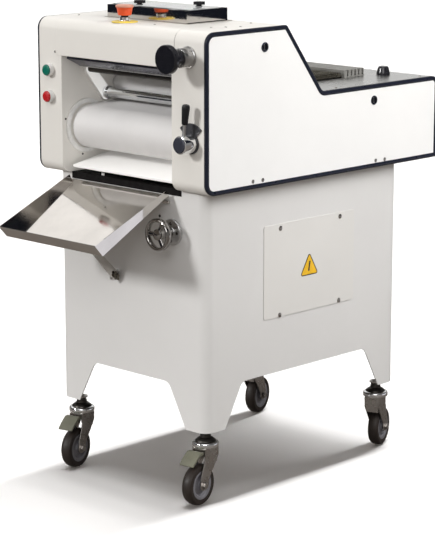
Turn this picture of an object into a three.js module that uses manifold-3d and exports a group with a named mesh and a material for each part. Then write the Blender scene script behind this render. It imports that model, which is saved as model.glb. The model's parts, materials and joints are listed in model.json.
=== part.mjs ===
// Dough sheeter and moulder on a wheeled cabinet, in millimetres.
// +X is the operator's right, -Y is the operator's side, +Z is up.
// Lengths along Y are first counted from the front of the head; the whole
// machine is then moved so that its origin lies under the middle of its box.
import * as THREE from 'three';
import { mergeVertices } from 'three/addons/utils/BufferGeometryUtils.js';
import Module from 'manifold-3d';

const wasm = await Module();
wasm.setup();

// ---------------------------------------------------------------- driving dimensions
const GAP = 0.3; // clearance between pieces that touch
const SHEET = 2; // thickness of the hood and deck sheet

const HEAD_HALF_WIDTH = 287;
const HEAD_DEPTH = 833;
const HEAD_BOTTOM = 752;
const HEAD_TOP = 1125;
const DECK_TOP = 958;
const SLOPE_TOP_Y = 269;
const SLOPE_FOOT_Y = 396;
const CORNER_RADIUS = 28;
const HOUSING_WALL = 4;
const HOUSING_OUTER = 279.5;
const INNER_WALL = 2.5;
const TRIM_WIDTH = 11;
const COVER_FROM = 282;
const COVER_TO = 285;
const LATCH_RADIUS = 11;
const LATCH_PLACES = [[194, 1079], [586, 919]]; // [y, z] on the right cover; the left one is screwed on

const OPENING_LEFT = -201;
const OPENING_RIGHT = 176;
const OPENING_TOP = 1037;
const HOOD_LEFT = -217;
const HOOD_RIGHT = 186;

const HOPPER_LEFT = -155;
const HOPPER_RIGHT = 115;
const HOPPER_FRONT = 110;
const HOPPER_BACK = 246;
const HOPPER_HEIGHT = 31;
const HOPPER_MOUTH = [196, 238, 1030]; // front y, back y and z of the chute's lower end
const HOPPER_KNOBS = [['hopper_knob_left', -70, 136], ['hopper_knob_right', 62, 204]];

const DRUM = { y: 78, z: 862, radius: 50 };
const PULLEY = { y: 775, z: 912, radius: 38 };
const BELT_THICKNESS = 1.7;
const BELT_LIFT = 1; // how far the belt runs off its faceted drums
const BELT_HALF_WIDTH = 177;
const CHANNEL_MIDDLE = (OPENING_LEFT + OPENING_RIGHT) / 2;
const FRONT_ROLLER = { y: 180, z: 960, radius: 32 };
const REAR_ROLLER = { y: 249, z: 972, radius: 32 };
const ROLLER_HALF_LENGTH = 163;
const JOURNAL_RADIUS = 12;
const ARM_PIVOT = { y: 83, z: 1000 };
const GUIDE_ROLLER = { y: 136, z: 939, radius: 12 };

const MOTOR_AXIS = { y: 330, z: 640 };
const SPROCKET_RADIUS = 28;
const CHAIN_X = [202, 210];
const CHAIN_SLACK = 0.8; // how much smaller the plain sprocket discs are than the chain's line

const BUTTON_X = -241;
const START_Z = 1000;
const STOP_Z = 936;
const KNOB = { x: 231, z: 1067 };
const LEVER = { x: 240, z: 871 };
const ESTOP = { x: -31, y: 50, radius: 31 };
const DECK_KNOB = { x: 172.5, y: 754, screw: 2.5 };

const DECK_OPENING = { x0: -195, x1: 146, y0: 425, y1: 716 };
const MAT_END_Y = 636;
const MAT_GROOVE_PITCH = 14;

const CABINET_HALF_WIDTH = 253;
const CABINET_FRONT = 31;
const CABINET_BACK = 724;
const CABINET_BOTTOM = 178;
const CABINET_WALL = 3;
const LEG_FOOT = 66; // width of a leg at the foot
const LEG_TOP = 124; // width of a leg where the cut-out ends
const CUTOUT_TOP = 285;
const PANEL = { y0: 227, y1: 553, z0: 421, z1: 649 };
const HANDWHEEL = { x: 147, z: 650, y: -18, radius: 34 };
const WHEEL_SPOKES = [60, 180, 300];

const TRAY = { x0: -195, x1: 141, y: 20, z: 737, length: 234, slope: 28.5 };
const STRUT = { x: -40.5, y: 18, z: 520, length: 192, lean: 44 };

const CASTER_INSET = 35;
const CASTER_TRAIL = 30;
const WHEEL_RADIUS = 50;
const CASTERS = [
  // name, side, y, turn about the stem in degrees, has a brake
  ['front_left', -1, CABINET_FRONT + CASTER_INSET, 14, true],
  ['front_right', 1, CABINET_FRONT + CASTER_INSET, 8, true],
  ['rear_left', -1, CABINET_BACK - CASTER_INSET, 195, false],
  ['rear_right', 1, CABINET_BACK - CASTER_INSET, 200, false],
];

const FINISH = {
  housing: [0xdedad5, 0.45, 0],
  cover: [0xf6f6f4, 0.4, 0],
  cabinet: [0xd9d9d8, 0.5, 0],
  rubber: [0x14161d, 0.4, 0],
  steel: [0xb9babb, 0.15, 1],
  chrome: [0xd2d4d6, 0.1, 1],
  roller: [0xd8d4d2, 0.35, 0],
  belt: [0xe9e6e3, 0.6, 0],
  black: [0x0b0b0d, 0.35, 0],
  zinc: [0x9c968f, 0.25, 1],
  tyre: [0x2a2422, 0.6, 0],
  red: [0xc42a22, 0.35, 0],
  orange: [0xf0602c, 0.4, 0],
  yellow: [0xe6c646, 0.5, 0],
  green: [0x1d8f62, 0.35, 0],
  pedal: [0x7d7c66, 0.6, 0],
  mesh: [0x35322c, 0.45, 1],
};

const degrees = (angle) => (angle * Math.PI) / 180;
const machine = new THREE.Group();

// ---------------------------------------------------------------- solids
// A closed surface becomes a solid; a surface wound inwards is turned over.
function toSolid(geometry) {
  const bare = geometry.clone();
  bare.deleteAttribute('normal');
  bare.deleteAttribute('uv');
  const merged = mergeVertices(bare, 1e-4);
  const corner = merged.getAttribute('position');
  const index = merged.getIndex().array;
  const triangles = [];
  let volume = 0;
  const [a, b, c] = [new THREE.Vector3(), new THREE.Vector3(), new THREE.Vector3()];
  for (let i = 0; i < index.length; i += 3) {
    const [p, q, r] = [index[i], index[i + 1], index[i + 2]];
    if (p === q || q === r || r === p) continue;
    a.fromBufferAttribute(corner, p);
    b.fromBufferAttribute(corner, q);
    c.fromBufferAttribute(corner, r);
    volume += a.dot(b.cross(c));
    triangles.push([p, q, r]);
  }
  if (volume < 0) triangles.forEach((triangle) => triangle.reverse());
  return new wasm.Manifold(new wasm.Mesh({
    numProp: 3,
    vertProperties: new Float32Array(corner.array),
    triVerts: new Uint32Array(triangles.flat()),
  }));
}

function toGeometry(solid) {
  const mesh = solid.getMesh();
  const geometry = new THREE.BufferGeometry();
  geometry.setAttribute('position', new THREE.BufferAttribute(mesh.vertProperties, 3));
  geometry.setIndex(new THREE.BufferAttribute(mesh.triVerts, 1));
  geometry.computeVertexNormals();
  return geometry;
}

const union = (...solids) => solids.reduce((whole, solid) => whole.add(solid));
const cut = (body, ...tools) => tools.reduce((rest, tool) => rest.subtract(tool), body);

// Prism of an outline given as [y, z] along x, [x, z] along y or [x, y] along z.
function prism(axis, outline, from, to) {
  const flat = outline.map(([u, v]) => (axis === 'y' ? new THREE.Vector2(v, u) : new THREE.Vector2(u, v)));
  const geometry = new THREE.ExtrudeGeometry(new THREE.Shape(flat), {
    depth: to - from, bevelEnabled: false, steps: 1,
  });
  geometry.translate(0, 0, from);
  const basis = {
    x: [new THREE.Vector3(0, 1, 0), new THREE.Vector3(0, 0, 1), new THREE.Vector3(1, 0, 0)],
    y: [new THREE.Vector3(0, 0, 1), new THREE.Vector3(1, 0, 0), new THREE.Vector3(0, 1, 0)],
    z: [new THREE.Vector3(1, 0, 0), new THREE.Vector3(0, 1, 0), new THREE.Vector3(0, 0, 1)],
  }[axis];
  geometry.applyMatrix4(new THREE.Matrix4().makeBasis(...basis));
  return toSolid(geometry);
}

function block(x0, x1, y0, y1, z0, z1) {
  const geometry = new THREE.BoxGeometry(x1 - x0, y1 - y0, z1 - z0);
  geometry.translate((x0 + x1) / 2, (y0 + y1) / 2, (z0 + z1) / 2);
  return toSolid(geometry);
}

function circle(u, v, radius, segments = 16, turn = 0) {
  return Array.from({ length: segments }, (_, i) => {
    const angle = turn + (2 * Math.PI * i) / segments;
    return [u + radius * Math.cos(angle), v + radius * Math.sin(angle)];
  });
}

const rod = (axis, u, v, radius, from, to, segments = 12) =>
  prism(axis, circle(u, v, radius, segments), from, to);

// Hole that clears a shaft of the given radius all round, flats included.
const bore = (axis, u, v, radius, from, to, segments = 12) =>
  rod(axis, u, v, (radius + 0.4) / Math.cos(Math.PI / segments), from, to, segments);

// Turned piece about an axis through [u, v]; the profile is [radius, distance along the axis].
function turned(axis, u, v, profile, segments = 16) {
  const geometry = new THREE.LatheGeometry(profile.map(([r, h]) => new THREE.Vector2(r, h)), segments);
  if (axis === 'z') geometry.rotateX(Math.PI / 2).translate(u, v, 0);
  if (axis === 'y') geometry.translate(u, 0, v);
  if (axis === 'x') geometry.rotateZ(-Math.PI / 2).translate(0, u, v);
  return toSolid(geometry);
}

// Outline with rounded corners, moved inwards by inset. Corners are [u, v, radius], anticlockwise.
function rounded(corners, inset = 0, steps = 4) {
  const count = corners.length;
  const edge = corners.map(([u, v], i) => {
    const [nu, nv] = corners[(i + 1) % count];
    const length = Math.hypot(nu - u, nv - v);
    const [du, dv] = [(nu - u) / length, (nv - v) / length];
    return { u: u - dv * inset, v: v + du * inset, du, dv };
  });
  const outline = [];
  edge.forEach((next, i) => {
    const last = edge[(i + count - 1) % count];
    const cross = last.du * next.dv - last.dv * next.du;
    const along = ((next.u - last.u) * next.dv - (next.v - last.v) * next.du) / cross;
    const [cu, cv] = [last.u + last.du * along, last.v + last.dv * along];
    const radius = Math.max(corners[i][2] - Math.sign(cross) * inset, 0);
    if (radius < 0.5) {
      outline.push([cu, cv]);
      return;
    }
    const turn = Math.atan2(cross, last.du * next.du + last.dv * next.dv);
    const back = radius * Math.tan(Math.abs(turn) / 2);
    const side = Math.sign(turn) * radius;
    const [mu, mv] = [cu - last.du * back - last.dv * side, cv - last.dv * back + last.du * side];
    const start = Math.atan2(cv - last.dv * back - mv, cu - last.du * back - mu);
    for (let k = 0; k <= steps; k += 1) {
      const angle = start + (turn * k) / steps;
      outline.push([mu + radius * Math.cos(angle), mv + radius * Math.sin(angle)]);
    }
  });
  return outline;
}

// Open belt line round two wheels, both given as { y, z } with their radii.
function loopOutline(first, firstRadius, second, secondRadius, steps = 10) {
  const [dy, dz] = [second.y - first.y, second.z - first.z];
  const heading = Math.atan2(dz, dy);
  const wrap = Math.acos((firstRadius - secondRadius) / Math.hypot(dy, dz));
  const arc = (wheel, radius, from, to) => Array.from({ length: steps + 1 }, (_, i) => {
    const angle = from + ((to - from) * i) / steps;
    return [wheel.y + radius * Math.cos(angle), wheel.z + radius * Math.sin(angle)];
  });
  return [
    ...arc(first, firstRadius, heading + wrap, heading + 2 * Math.PI - wrap),
    ...arc(second, secondRadius, heading - wrap, heading + wrap),
  ];
}

// Adds a named piece to a group, with its own zero at the pivot.
function place(name, solid, finish, pivot = [0, 0, 0], group = machine) {
  const [colour, roughness, metalness] = FINISH[finish];
  const material = new THREE.MeshStandardMaterial({ color: colour, roughness, metalness });
  const mesh = new THREE.Mesh(toGeometry(solid), material);
  mesh.geometry.translate(-pivot[0], -pivot[1], -pivot[2]);
  mesh.position.set(...pivot);
  mesh.name = name;
  group.add(mesh);
  return mesh;
}

// ---------------------------------------------------------------- head
const HEAD_CORNERS = [
  [0, HEAD_BOTTOM, CORNER_RADIUS],
  [HEAD_DEPTH, HEAD_BOTTOM, 4],
  [HEAD_DEPTH, DECK_TOP, 20],
  [SLOPE_FOOT_Y, DECK_TOP, 20],
  [SLOPE_TOP_Y, HEAD_TOP, 14],
  [0, HEAD_TOP, CORNER_RADIUS],
];
const headOutline = (inset) => rounded(HEAD_CORNERS, inset);
const headPrism = (inset, x0, x1) => prism('x', headOutline(inset), x0, x1);
// Skin of the head between two depths below its outline.
const headSkin = (outer, inner, x0, x1) =>
  headPrism(outer, x0, x1).subtract(headPrism(inner, x0 - 1, x1 + 1));
const SLOPE_SEAM = 975; // height where the hood ends and the deck sheet begins

// Everything above the front opening and ahead of the deck.
function hoodZone(clearance) {
  const zone = block(-400, 400, -50, 500, SLOPE_SEAM - clearance, 1200);
  return zone.subtract(block(-500, 500, -60, 120, 900, OPENING_TOP - clearance));
}

const deckZone = (clearance) => block(-400, 400, 300, 900, 700, SLOPE_SEAM - GAP + clearance);

function makeHood() {
  const sheet = headSkin(0, SHEET, HOOD_LEFT + GAP, HOOD_RIGHT - GAP).intersect(hoodZone(0));
  const mouth = block(HOPPER_LEFT - 1, HOPPER_RIGHT + 1, HOPPER_FRONT - 1, HOPPER_BACK + 1, 1100, 1200);
  const stemHole = bore('z', ESTOP.x, ESTOP.y, 9, 1100, 1200);
  place('top_hood', cut(sheet, mouth, stemHole), 'housing');
}

function makeDeck() {
  const sheet = headSkin(0, SHEET, GAP - HOUSING_OUTER, HOUSING_OUTER - GAP).intersect(deckZone(0));
  const { x0, x1, y0, y1 } = DECK_OPENING;
  const under = block(-400, 400, -10, 900, 700, HEAD_BOTTOM + 3);
  const opening = block(x0, x1, y0, y1, 940, 1000);
  const screwHole = bore('z', DECK_KNOB.x, DECK_KNOB.y, DECK_KNOB.screw, 940, 1000);
  place('rear_deck', cut(sheet, under, opening, screwHole), 'steel');
}

// One of the two hollow side housings; side is -1 on the left and 1 on the right.
function makeHousing(side) {
  const inner = side < 0 ? OPENING_LEFT : OPENING_RIGHT;
  const hoodEdge = side < 0 ? HOOD_LEFT : HOOD_RIGHT;
  const [x0, x1] = side < 0 ? [-HOUSING_OUTER, inner] : [inner, HOUSING_OUTER];
  const [c0, c1] = side < 0 ? [x0 - 1, x1 - INNER_WALL] : [x0 + INNER_WALL, x1 + 1];
  const [h0, h1] = side < 0 ? [hoodEdge - GAP, inner + 1] : [inner - 1, hoodEdge + GAP];
  const hoodRebate = headSkin(-2, HOUSING_WALL + 0.2, h0, h1).intersect(hoodZone(GAP));
  const deckRebate = headSkin(-2, SHEET + GAP, x0 - 1, x1 + 1).intersect(deckZone(GAP))
    .subtract(block(-400, 400, -10, 900, 700, HEAD_BOTTOM + 3 - GAP));
  let shell = cut(headPrism(0, x0, x1), headPrism(HOUSING_WALL, c0, c1), hoodRebate, deckRebate);
  for (const shaft of [DRUM, PULLEY, FRONT_ROLLER]) {
    shell = cut(shell, bore('x', shaft.y, shaft.z, JOURNAL_RADIUS, inner - 5, inner + 5));
  }
  if (side < 0) {
    for (const z of [START_Z, STOP_Z]) shell = cut(shell, bore('y', BUTTON_X, z, 8, -5, 10));
  } else {
    shell = cut(shell,
      bore('y', KNOB.x, KNOB.z, 6, -5, 10),
      bore('y', LEVER.x, LEVER.z, 8, -5, 10),
      block(CHAIN_X[0] - 6, CHAIN_X[1] + 6, 146, 260, 745, 765));
  }
  place(side < 0 ? 'left_housing' : 'right_housing', shell, 'housing');
}

function makeCover(side) {
  const word = side < 0 ? 'left' : 'right';
  const span = (near, far) => (side < 0 ? [-far, -near] : [near, far]);
  const [t0, t1] = span(HOUSING_OUTER + GAP, HEAD_HALF_WIDTH);
  place(`${word}_trim`, headSkin(0, TRIM_WIDTH, t0, t1), 'rubber');
  let panel = headPrism(TRIM_WIDTH + GAP, ...span(COVER_FROM, COVER_TO));
  if (side > 0) LATCH_PLACES.forEach(([y, z], i) => {
    panel = cut(panel, bore('x', y, z, LATCH_RADIUS, ...span(COVER_FROM - 5, COVER_TO + 5)));
    const head = rod('x', y, z, LATCH_RADIUS, ...span(COVER_FROM - 8, COVER_TO + 1.5));
    const key = block(...span(COVER_TO + 0.5, COVER_TO + 5), y - 1.5, y + 1.5, z - 6, z + 6);
    const cam = block(...span(COVER_FROM - 12, COVER_FROM - 7), y - 5, y + 22, z - 5, z + 5);
    const [near, far] = span(COVER_FROM - 12, COVER_TO + 1.5);
    place(`${word}_latch_${i === 0 ? 'front' : 'rear'}`, union(head, cam).subtract(key), 'steel',
      [(near + far) / 2, y, z]);
  });
  place(`${word}_cover`, panel, 'cover');
}

// ---------------------------------------------------------------- hopper
function makeHopper() {
  const [mouthFront, mouthBack, mouthZ] = HOPPER_MOUTH;
  const top = HEAD_TOP + HOPPER_HEIGHT;
  const chute = (inset, low, high) => [
    [mouthFront + inset, low], [mouthBack - inset, low], [mouthBack - inset, mouthZ + 25],
    [HOPPER_BACK - inset, HEAD_TOP - 12], [HOPPER_BACK - inset, high],
    [HOPPER_FRONT + inset, high], [HOPPER_FRONT + inset, HEAD_TOP - 12],
  ];
  const outer = prism('x', chute(0, mouthZ, top), HOPPER_LEFT, HOPPER_RIGHT);
  const flange = block(HOPPER_LEFT - 8, HOPPER_RIGHT + 8, HOPPER_FRONT - 2.5, HOPPER_BACK + 8,
    HEAD_TOP + GAP, HEAD_TOP + GAP + 1.5);
  const inner = prism('x', chute(SHEET, mouthZ - 5, top + 5), HOPPER_LEFT + SHEET, HOPPER_RIGHT - SHEET);
  let box = cut(union(outer, flange), inner);
  // Straps across the top carry the clamp knobs.
  for (const [name, x, y] of HOPPER_KNOBS) {
    const strap = block(x - 11, x + 11, HOPPER_FRONT + 0.5, HOPPER_BACK - 0.5, top - 3, top);
    box = cut(union(box, strap), bore('z', x, y, 4, top - 20, top + 5));
    const lobes = [0, 1, 2].map((i) => {
      const angle = degrees(120 * i + 20);
      return rod('z', x + 8.5 * Math.cos(angle), y + 8.5 * Math.sin(angle), 6.5, top + 5, top + 14, 8);
    });
    const hub = turned('z', x, y, [
      [0, top + GAP], [8, top + GAP], [8, top + 5], [10, top + 14], [0, top + 14],
    ], 10);
    const stem = rod('z', x, y, 4, top - 12, top + 5, 8);
    place(name, union(hub, stem, ...lobes), 'black', [x, y, top]);
  }
  place('hopper', box, 'steel');
}

// ---------------------------------------------------------------- controls
function makePushButton(word, z, finish) {
  const collar = turned('y', BUTTON_X, z, [
    [8.4, -GAP], [15, -GAP], [15, -15], [13.6, -17], [12.5, -17], [12.5, -3.5], [8.4, -3.5], [8.4, -GAP],
  ]);
  place(`${word}_collar`, collar, 'cover');
  const cap = turned('y', BUTTON_X, z, [
    [0, 12], [8, 12], [8, -8], [12, -8], [12, -18.5], [10.5, -20], [0, -20],
  ]);
  place(`${word}_button`, cap, finish, [BUTTON_X, -20, z]);
}

function makeEmergencyStop() {
  const { x, y, radius } = ESTOP;
  const foot = HEAD_TOP + GAP;
  const base = turned('z', x, y, [
    [9.4, foot], [radius, foot], [radius, foot + 2], [radius - 3, foot + 3], [12.5, foot + 3],
    [12.5, foot + 12], [9.4, foot + 12], [9.4, foot],
  ]);
  place('estop_base', base, 'yellow');
  const stem = turned('z', x, y, [[0, 1108], [9, 1108], [9, 1141], [6, 1141], [6, 1153], [0, 1153]]);
  place('estop_stem', stem, 'black', [x, y, 1141]);
  const cap = turned('z', x, y, [
    [0, 1153.4], [6.4, 1153.4], [6.4, 1141.4], [16, 1141.4], [18.5, 1159], [21.5, 1160.5], [21.5, 1164],
    [19, 1166], [0, 1167],
  ]);
  place('estop_button', cap, 'orange', [x, y, 1150]);
}

function makeGapKnob() {
  const { x, z } = KNOB;
  const collar = turned('y', x, z, [
    [6.6, -GAP], [25, -GAP], [25, -5], [22.5, -6], [22.5, -29], [20, -31], [6.6, -31], [6.6, -GAP],
  ]);
  place('knob_collar', collar, 'steel');
  const knob = turned('y', x, z, [
    [0, 120], [6, 120], [6, -31.4], [18, -31.4], [17, -52], [19, -60], [32, -60], [33.5, -62],
    [33.5, -73], [32, -75], [0, -75],
  ], 20);
  place('gap_knob', knob, 'black', [x, -75, z]);
}

function makeGapLever() {
  const { x, z } = LEVER;
  const sector = [];
  for (let i = 0; i <= 8; i += 1) {
    const angle = degrees(45 + (90 * i) / 8);
    sector.push([x + 47 * Math.cos(angle), z + 47 * Math.sin(angle)]);
  }
  sector.push([x - 14, z + 14], [x + 14, z + 14]);
  const disc = rod('y', x, z, 24, -5, -GAP, 16);
  const plate = prism('y', sector, -5, -GAP);
  place('lever_quadrant', cut(union(disc, plate), bore('y', x, z, 8, -9, 5)), 'black');
  const hub = turned('y', x, z, [
    [0, 60], [8, 60], [8, -5.4], [21.5, -5.4], [21.5, -39], [18.5, -43], [0, -44],
  ]);
  const stick = turned('z', 0, 0, [
    [0, 12], [4.5, 12], [4.5, 48], [7, 49], [7.5, 54], [9.5, 88], [8, 93], [0, 94],
  ], 10).rotate([0, 6, 0]).translate([x, -27, z]);
  place('gap_lever', union(hub, stick), 'chrome', [x, -27, z]);
}

function makeHandwheel() {
  const { x, z, y, radius } = HANDWHEEL;
  const face = CABINET_FRONT - GAP;
  const flange = turned('y', x, z, [
    [7, face], [31, face], [31, face - 6], [29, face - 8], [7, face - 8], [7, face],
  ]);
  place('handwheel_flange', flange, 'steel');
  const rim = turned('y', x, z, [
    [radius - 5, y - 3], [radius, y - 8], [radius + 4.5, y - 4], [radius + 4.5, y + 7], [radius - 1, y + 9],
    [radius - 5, y - 3],
  ], 20);
  const hub = turned('y', x, z, [
    [0, 95], [6.5, 95], [6.5, 21], [10, 21], [14, y + 4], [14, y - 1], [11, y - 5], [0, y - 6],
  ], 12);
  const spokes = WHEEL_SPOKES.map((angle) =>
    block(6, radius - 2, y - 3, y + 3, -5.5, 5.5).rotate([0, -angle, 0]).translate([x, 0, z]));
  place('handwheel', union(rim, hub, ...spokes), 'chrome', [x, y, z]);
}

function makeDeckKnob() {
  const { x, y, screw } = DECK_KNOB;
  const foot = DECK_TOP + GAP;
  const knob = turned('z', x, y, [
    [0, foot - 5], [screw, foot - 5], [screw, foot], [17.5, foot], [17.5, foot + 4], [14, foot + 17],
    [11.5, foot + 21], [0, foot + 21.5],
  ]);
  place('deck_knob', knob, 'black', [x, y, foot]);
}

// ---------------------------------------------------------------- rollers, belt and mat
// A roller with stepped journals; reach is how far the journals pass its ends.
function roller(axle, halfLength, edge, reach, reachRight = reach) {
  const { y, z, radius } = axle;
  const [x0, x1] = [CHANNEL_MIDDLE - halfLength, CHANNEL_MIDDLE + halfLength];
  return turned('x', y, z, [
    [0, x0 - reach], [JOURNAL_RADIUS, x0 - reach], [JOURNAL_RADIUS, x0], [radius - edge, x0],
    [radius, x0 + edge], [radius, x1 - edge], [radius - edge, x1], [JOURNAL_RADIUS, x1],
    [JOURNAL_RADIUS, x1 + reachRight], [0, x1 + reachRight],
  ]);
}

const sprocket = (axle, radius = SPROCKET_RADIUS - CHAIN_SLACK) =>
  rod('x', axle.y, axle.z, radius, CHAIN_X[0] + 2, CHAIN_X[1] - 2, 16);

function makeRollers() {
  const front = roller(FRONT_ROLLER, ROLLER_HALF_LENGTH, 2, 45, 60);
  place('front_roller', front, 'roller', [CHANNEL_MIDDLE, FRONT_ROLLER.y, FRONT_ROLLER.z]);
  const rear = roller(REAR_ROLLER, ROLLER_HALF_LENGTH, 2, 9);
  place('rear_roller', rear, 'roller', [CHANNEL_MIDDLE, REAR_ROLLER.y, REAR_ROLLER.z]);
  const near = ROLLER_HALF_LENGTH + 2;
  const far = near + 9;
  const carriage = [-1, 1].map((side) => {
    const [x0, x1] = side < 0 ? [-far, -near] : [near, far];
    return block(CHANNEL_MIDDLE + x0, CHANNEL_MIDDLE + x1, REAR_ROLLER.y - 18, REAR_ROLLER.y + 50,
      REAR_ROLLER.z - 20, REAR_ROLLER.z + 20)
      .subtract(bore('x', REAR_ROLLER.y, REAR_ROLLER.z, JOURNAL_RADIUS, -400, 400));
  });
  const bar = block(CHANNEL_MIDDLE - far, CHANNEL_MIDDLE + far, REAR_ROLLER.y + 40, REAR_ROLLER.y + 50,
    REAR_ROLLER.z - 12, REAR_ROLLER.z + 12);
  place('roller_carriage', union(...carriage, bar), 'zinc', [CHANNEL_MIDDLE, REAR_ROLLER.y, REAR_ROLLER.z]);
}

function makeSwingFrame() {
  const ends = [OPENING_LEFT + 3, OPENING_RIGHT - 3];
  const arm = (x0, x1) => {
    const strap = prism('x', loopOutline(ARM_PIVOT, 11, GUIDE_ROLLER, 11, 5), x0, x1);
    return strap.subtract(bore('x', GUIDE_ROLLER.y, GUIDE_ROLLER.z, 5, x0 - 1, x1 + 1));
  };
  const pivot = rod('x', ARM_PIVOT.y, ARM_PIVOT.z, 8, OPENING_LEFT + GAP, OPENING_RIGHT - GAP);
  place('swing_frame', union(pivot, arm(ends[0], ends[0] + 9), arm(ends[1] - 9, ends[1])), 'housing',
    [CHANNEL_MIDDLE, ARM_PIVOT.y, ARM_PIVOT.z]);
  const { y, z, radius } = GUIDE_ROLLER;
  const [x0, x1] = [ends[0] + 9.5, ends[1] - 9.5];
  const bar = turned('x', y, z, [
    [0, x0 - 7], [5, x0 - 7], [5, x0], [16, x0], [16, x0 + 9], [radius, x0 + 10], [radius, x1 - 10],
    [16, x1 - 9], [16, x1], [5, x1], [5, x1 + 7], [0, x1 + 7],
  ]);
  place('guide_roller', bar, 'chrome', [CHANNEL_MIDDLE, y, z]);
}

function makeConveyor() {
  const half = (OPENING_RIGHT - OPENING_LEFT) / 2 - 3;
  const drum = union(roller(DRUM, half, 9, 30, 40), sprocket(DRUM));
  place('belt_drum', drum, 'belt', [CHANNEL_MIDDLE, DRUM.y, DRUM.z]);
  place('rear_pulley', roller(PULLEY, half, 4, 20), 'zinc', [CHANNEL_MIDDLE, PULLEY.y, PULLEY.z]);
  const lift = (extra) => loopOutline(DRUM, DRUM.radius + extra, PULLEY, PULLEY.radius + extra, 12);
  const [x0, x1] = [CHANNEL_MIDDLE - BELT_HALF_WIDTH, CHANNEL_MIDDLE + BELT_HALF_WIDTH];
  const belt = prism('x', lift(BELT_LIFT + BELT_THICKNESS), x0, x1)
    .subtract(prism('x', lift(BELT_LIFT), x0 - 1, x1 + 1));
  place('conveyor_belt', belt, 'belt');
}

function makePressureBoard() {
  const run = [[20, 772], [105, 788], [640, 832]];
  const under = run.map(([y, z]) => [y + 1, z - 6]).reverse();
  const [x0, x1] = [OPENING_LEFT + 14, OPENING_RIGHT - 1];
  const board = prism('x', [...under, ...run], x0, x1);
  place('pressure_board', board, 'cover', [(x0 + x1) / 2, 20, 772]);
}

function makeMat() {
  const { x0, x1, y0, y1 } = DECK_OPENING;
  const edge = 3;
  const [m0, m1] = [x0 + edge, x1 - edge];
  place('chain_mat', prism('x', [
    [y0 + edge, 946], [MAT_END_Y, 951], [MAT_END_Y, 970], [MAT_END_Y - 4, 973], [y0 + edge, 971],
  ], m0, m1), 'mesh');
  let bar = block(m0, m1, MAT_END_Y + 2, y1 - edge, 952.5, 976);
  for (let y = MAT_END_Y + 13; y < y1 - 8; y += MAT_GROOVE_PITCH) {
    bar = bar.subtract(block(m0 - 1, m1 + 1, y, y + 5, 960, 980));
  }
  place('mat_bar', bar, 'cover');
}

function makeGuard() {
  const blade = [[16, 1030], [20, 1034], [60, 1014], [58, 1009]];
  place('front_guard', prism('x', blade, OPENING_LEFT + GAP, OPENING_RIGHT - GAP), 'steel');
}

// ---------------------------------------------------------------- drive
function makeDrive() {
  const { y, z } = MOTOR_AXIS;
  const gearbox = block(20, 150, y - 60, y + 60, z - 60, z + 60);
  const body = rod('y', 85, z, 62, y + 55, y + 250, 16);
  const feet = block(40, 130, y - 60, y + 200, z - 60, HEAD_BOTTOM - 4);
  const shaft = rod('x', y, z, 12, 145, CHAIN_X[1]);
  place('drive_motor', union(gearbox, body, feet.subtract(block(50, 120, y + 62, y + 300, 0, 900)), shaft,
    sprocket(MOTOR_AXIS)), 'zinc');
  const line = (extra) => loopOutline(DRUM, SPROCKET_RADIUS + extra, MOTOR_AXIS, SPROCKET_RADIUS + extra, 8);
  const inside = prism('x', line(0.4), CHAIN_X[0] - 1, CHAIN_X[1] + 1);
  place('drive_chain', prism('x', line(4.4), ...CHAIN_X).subtract(inside), 'mesh');
}

// ---------------------------------------------------------------- cabinet
function cabinetPlan(inset) {
  const [x, y0, y1] = [CABINET_HALF_WIDTH, CABINET_FRONT, CABINET_BACK];
  return rounded([[-x, y0, 28], [x, y0, 28], [x, y1, 28], [-x, y1, 28]], inset);
}

// Arch between two legs: narrow legs at the foot that widen to rounded shoulders.
function archOutline(from, to) {
  return rounded([
    [from + LEG_FOOT, CABINET_BOTTOM - 10, 0], [to - LEG_FOOT, CABINET_BOTTOM - 10, 0],
    [to - LEG_FOOT, CABINET_BOTTOM, 4], [to - LEG_TOP, CUTOUT_TOP, 22],
    [from + LEG_TOP, CUTOUT_TOP, 22], [from + LEG_FOOT, CABINET_BOTTOM, 4],
  ], 0, 3);
}

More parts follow.
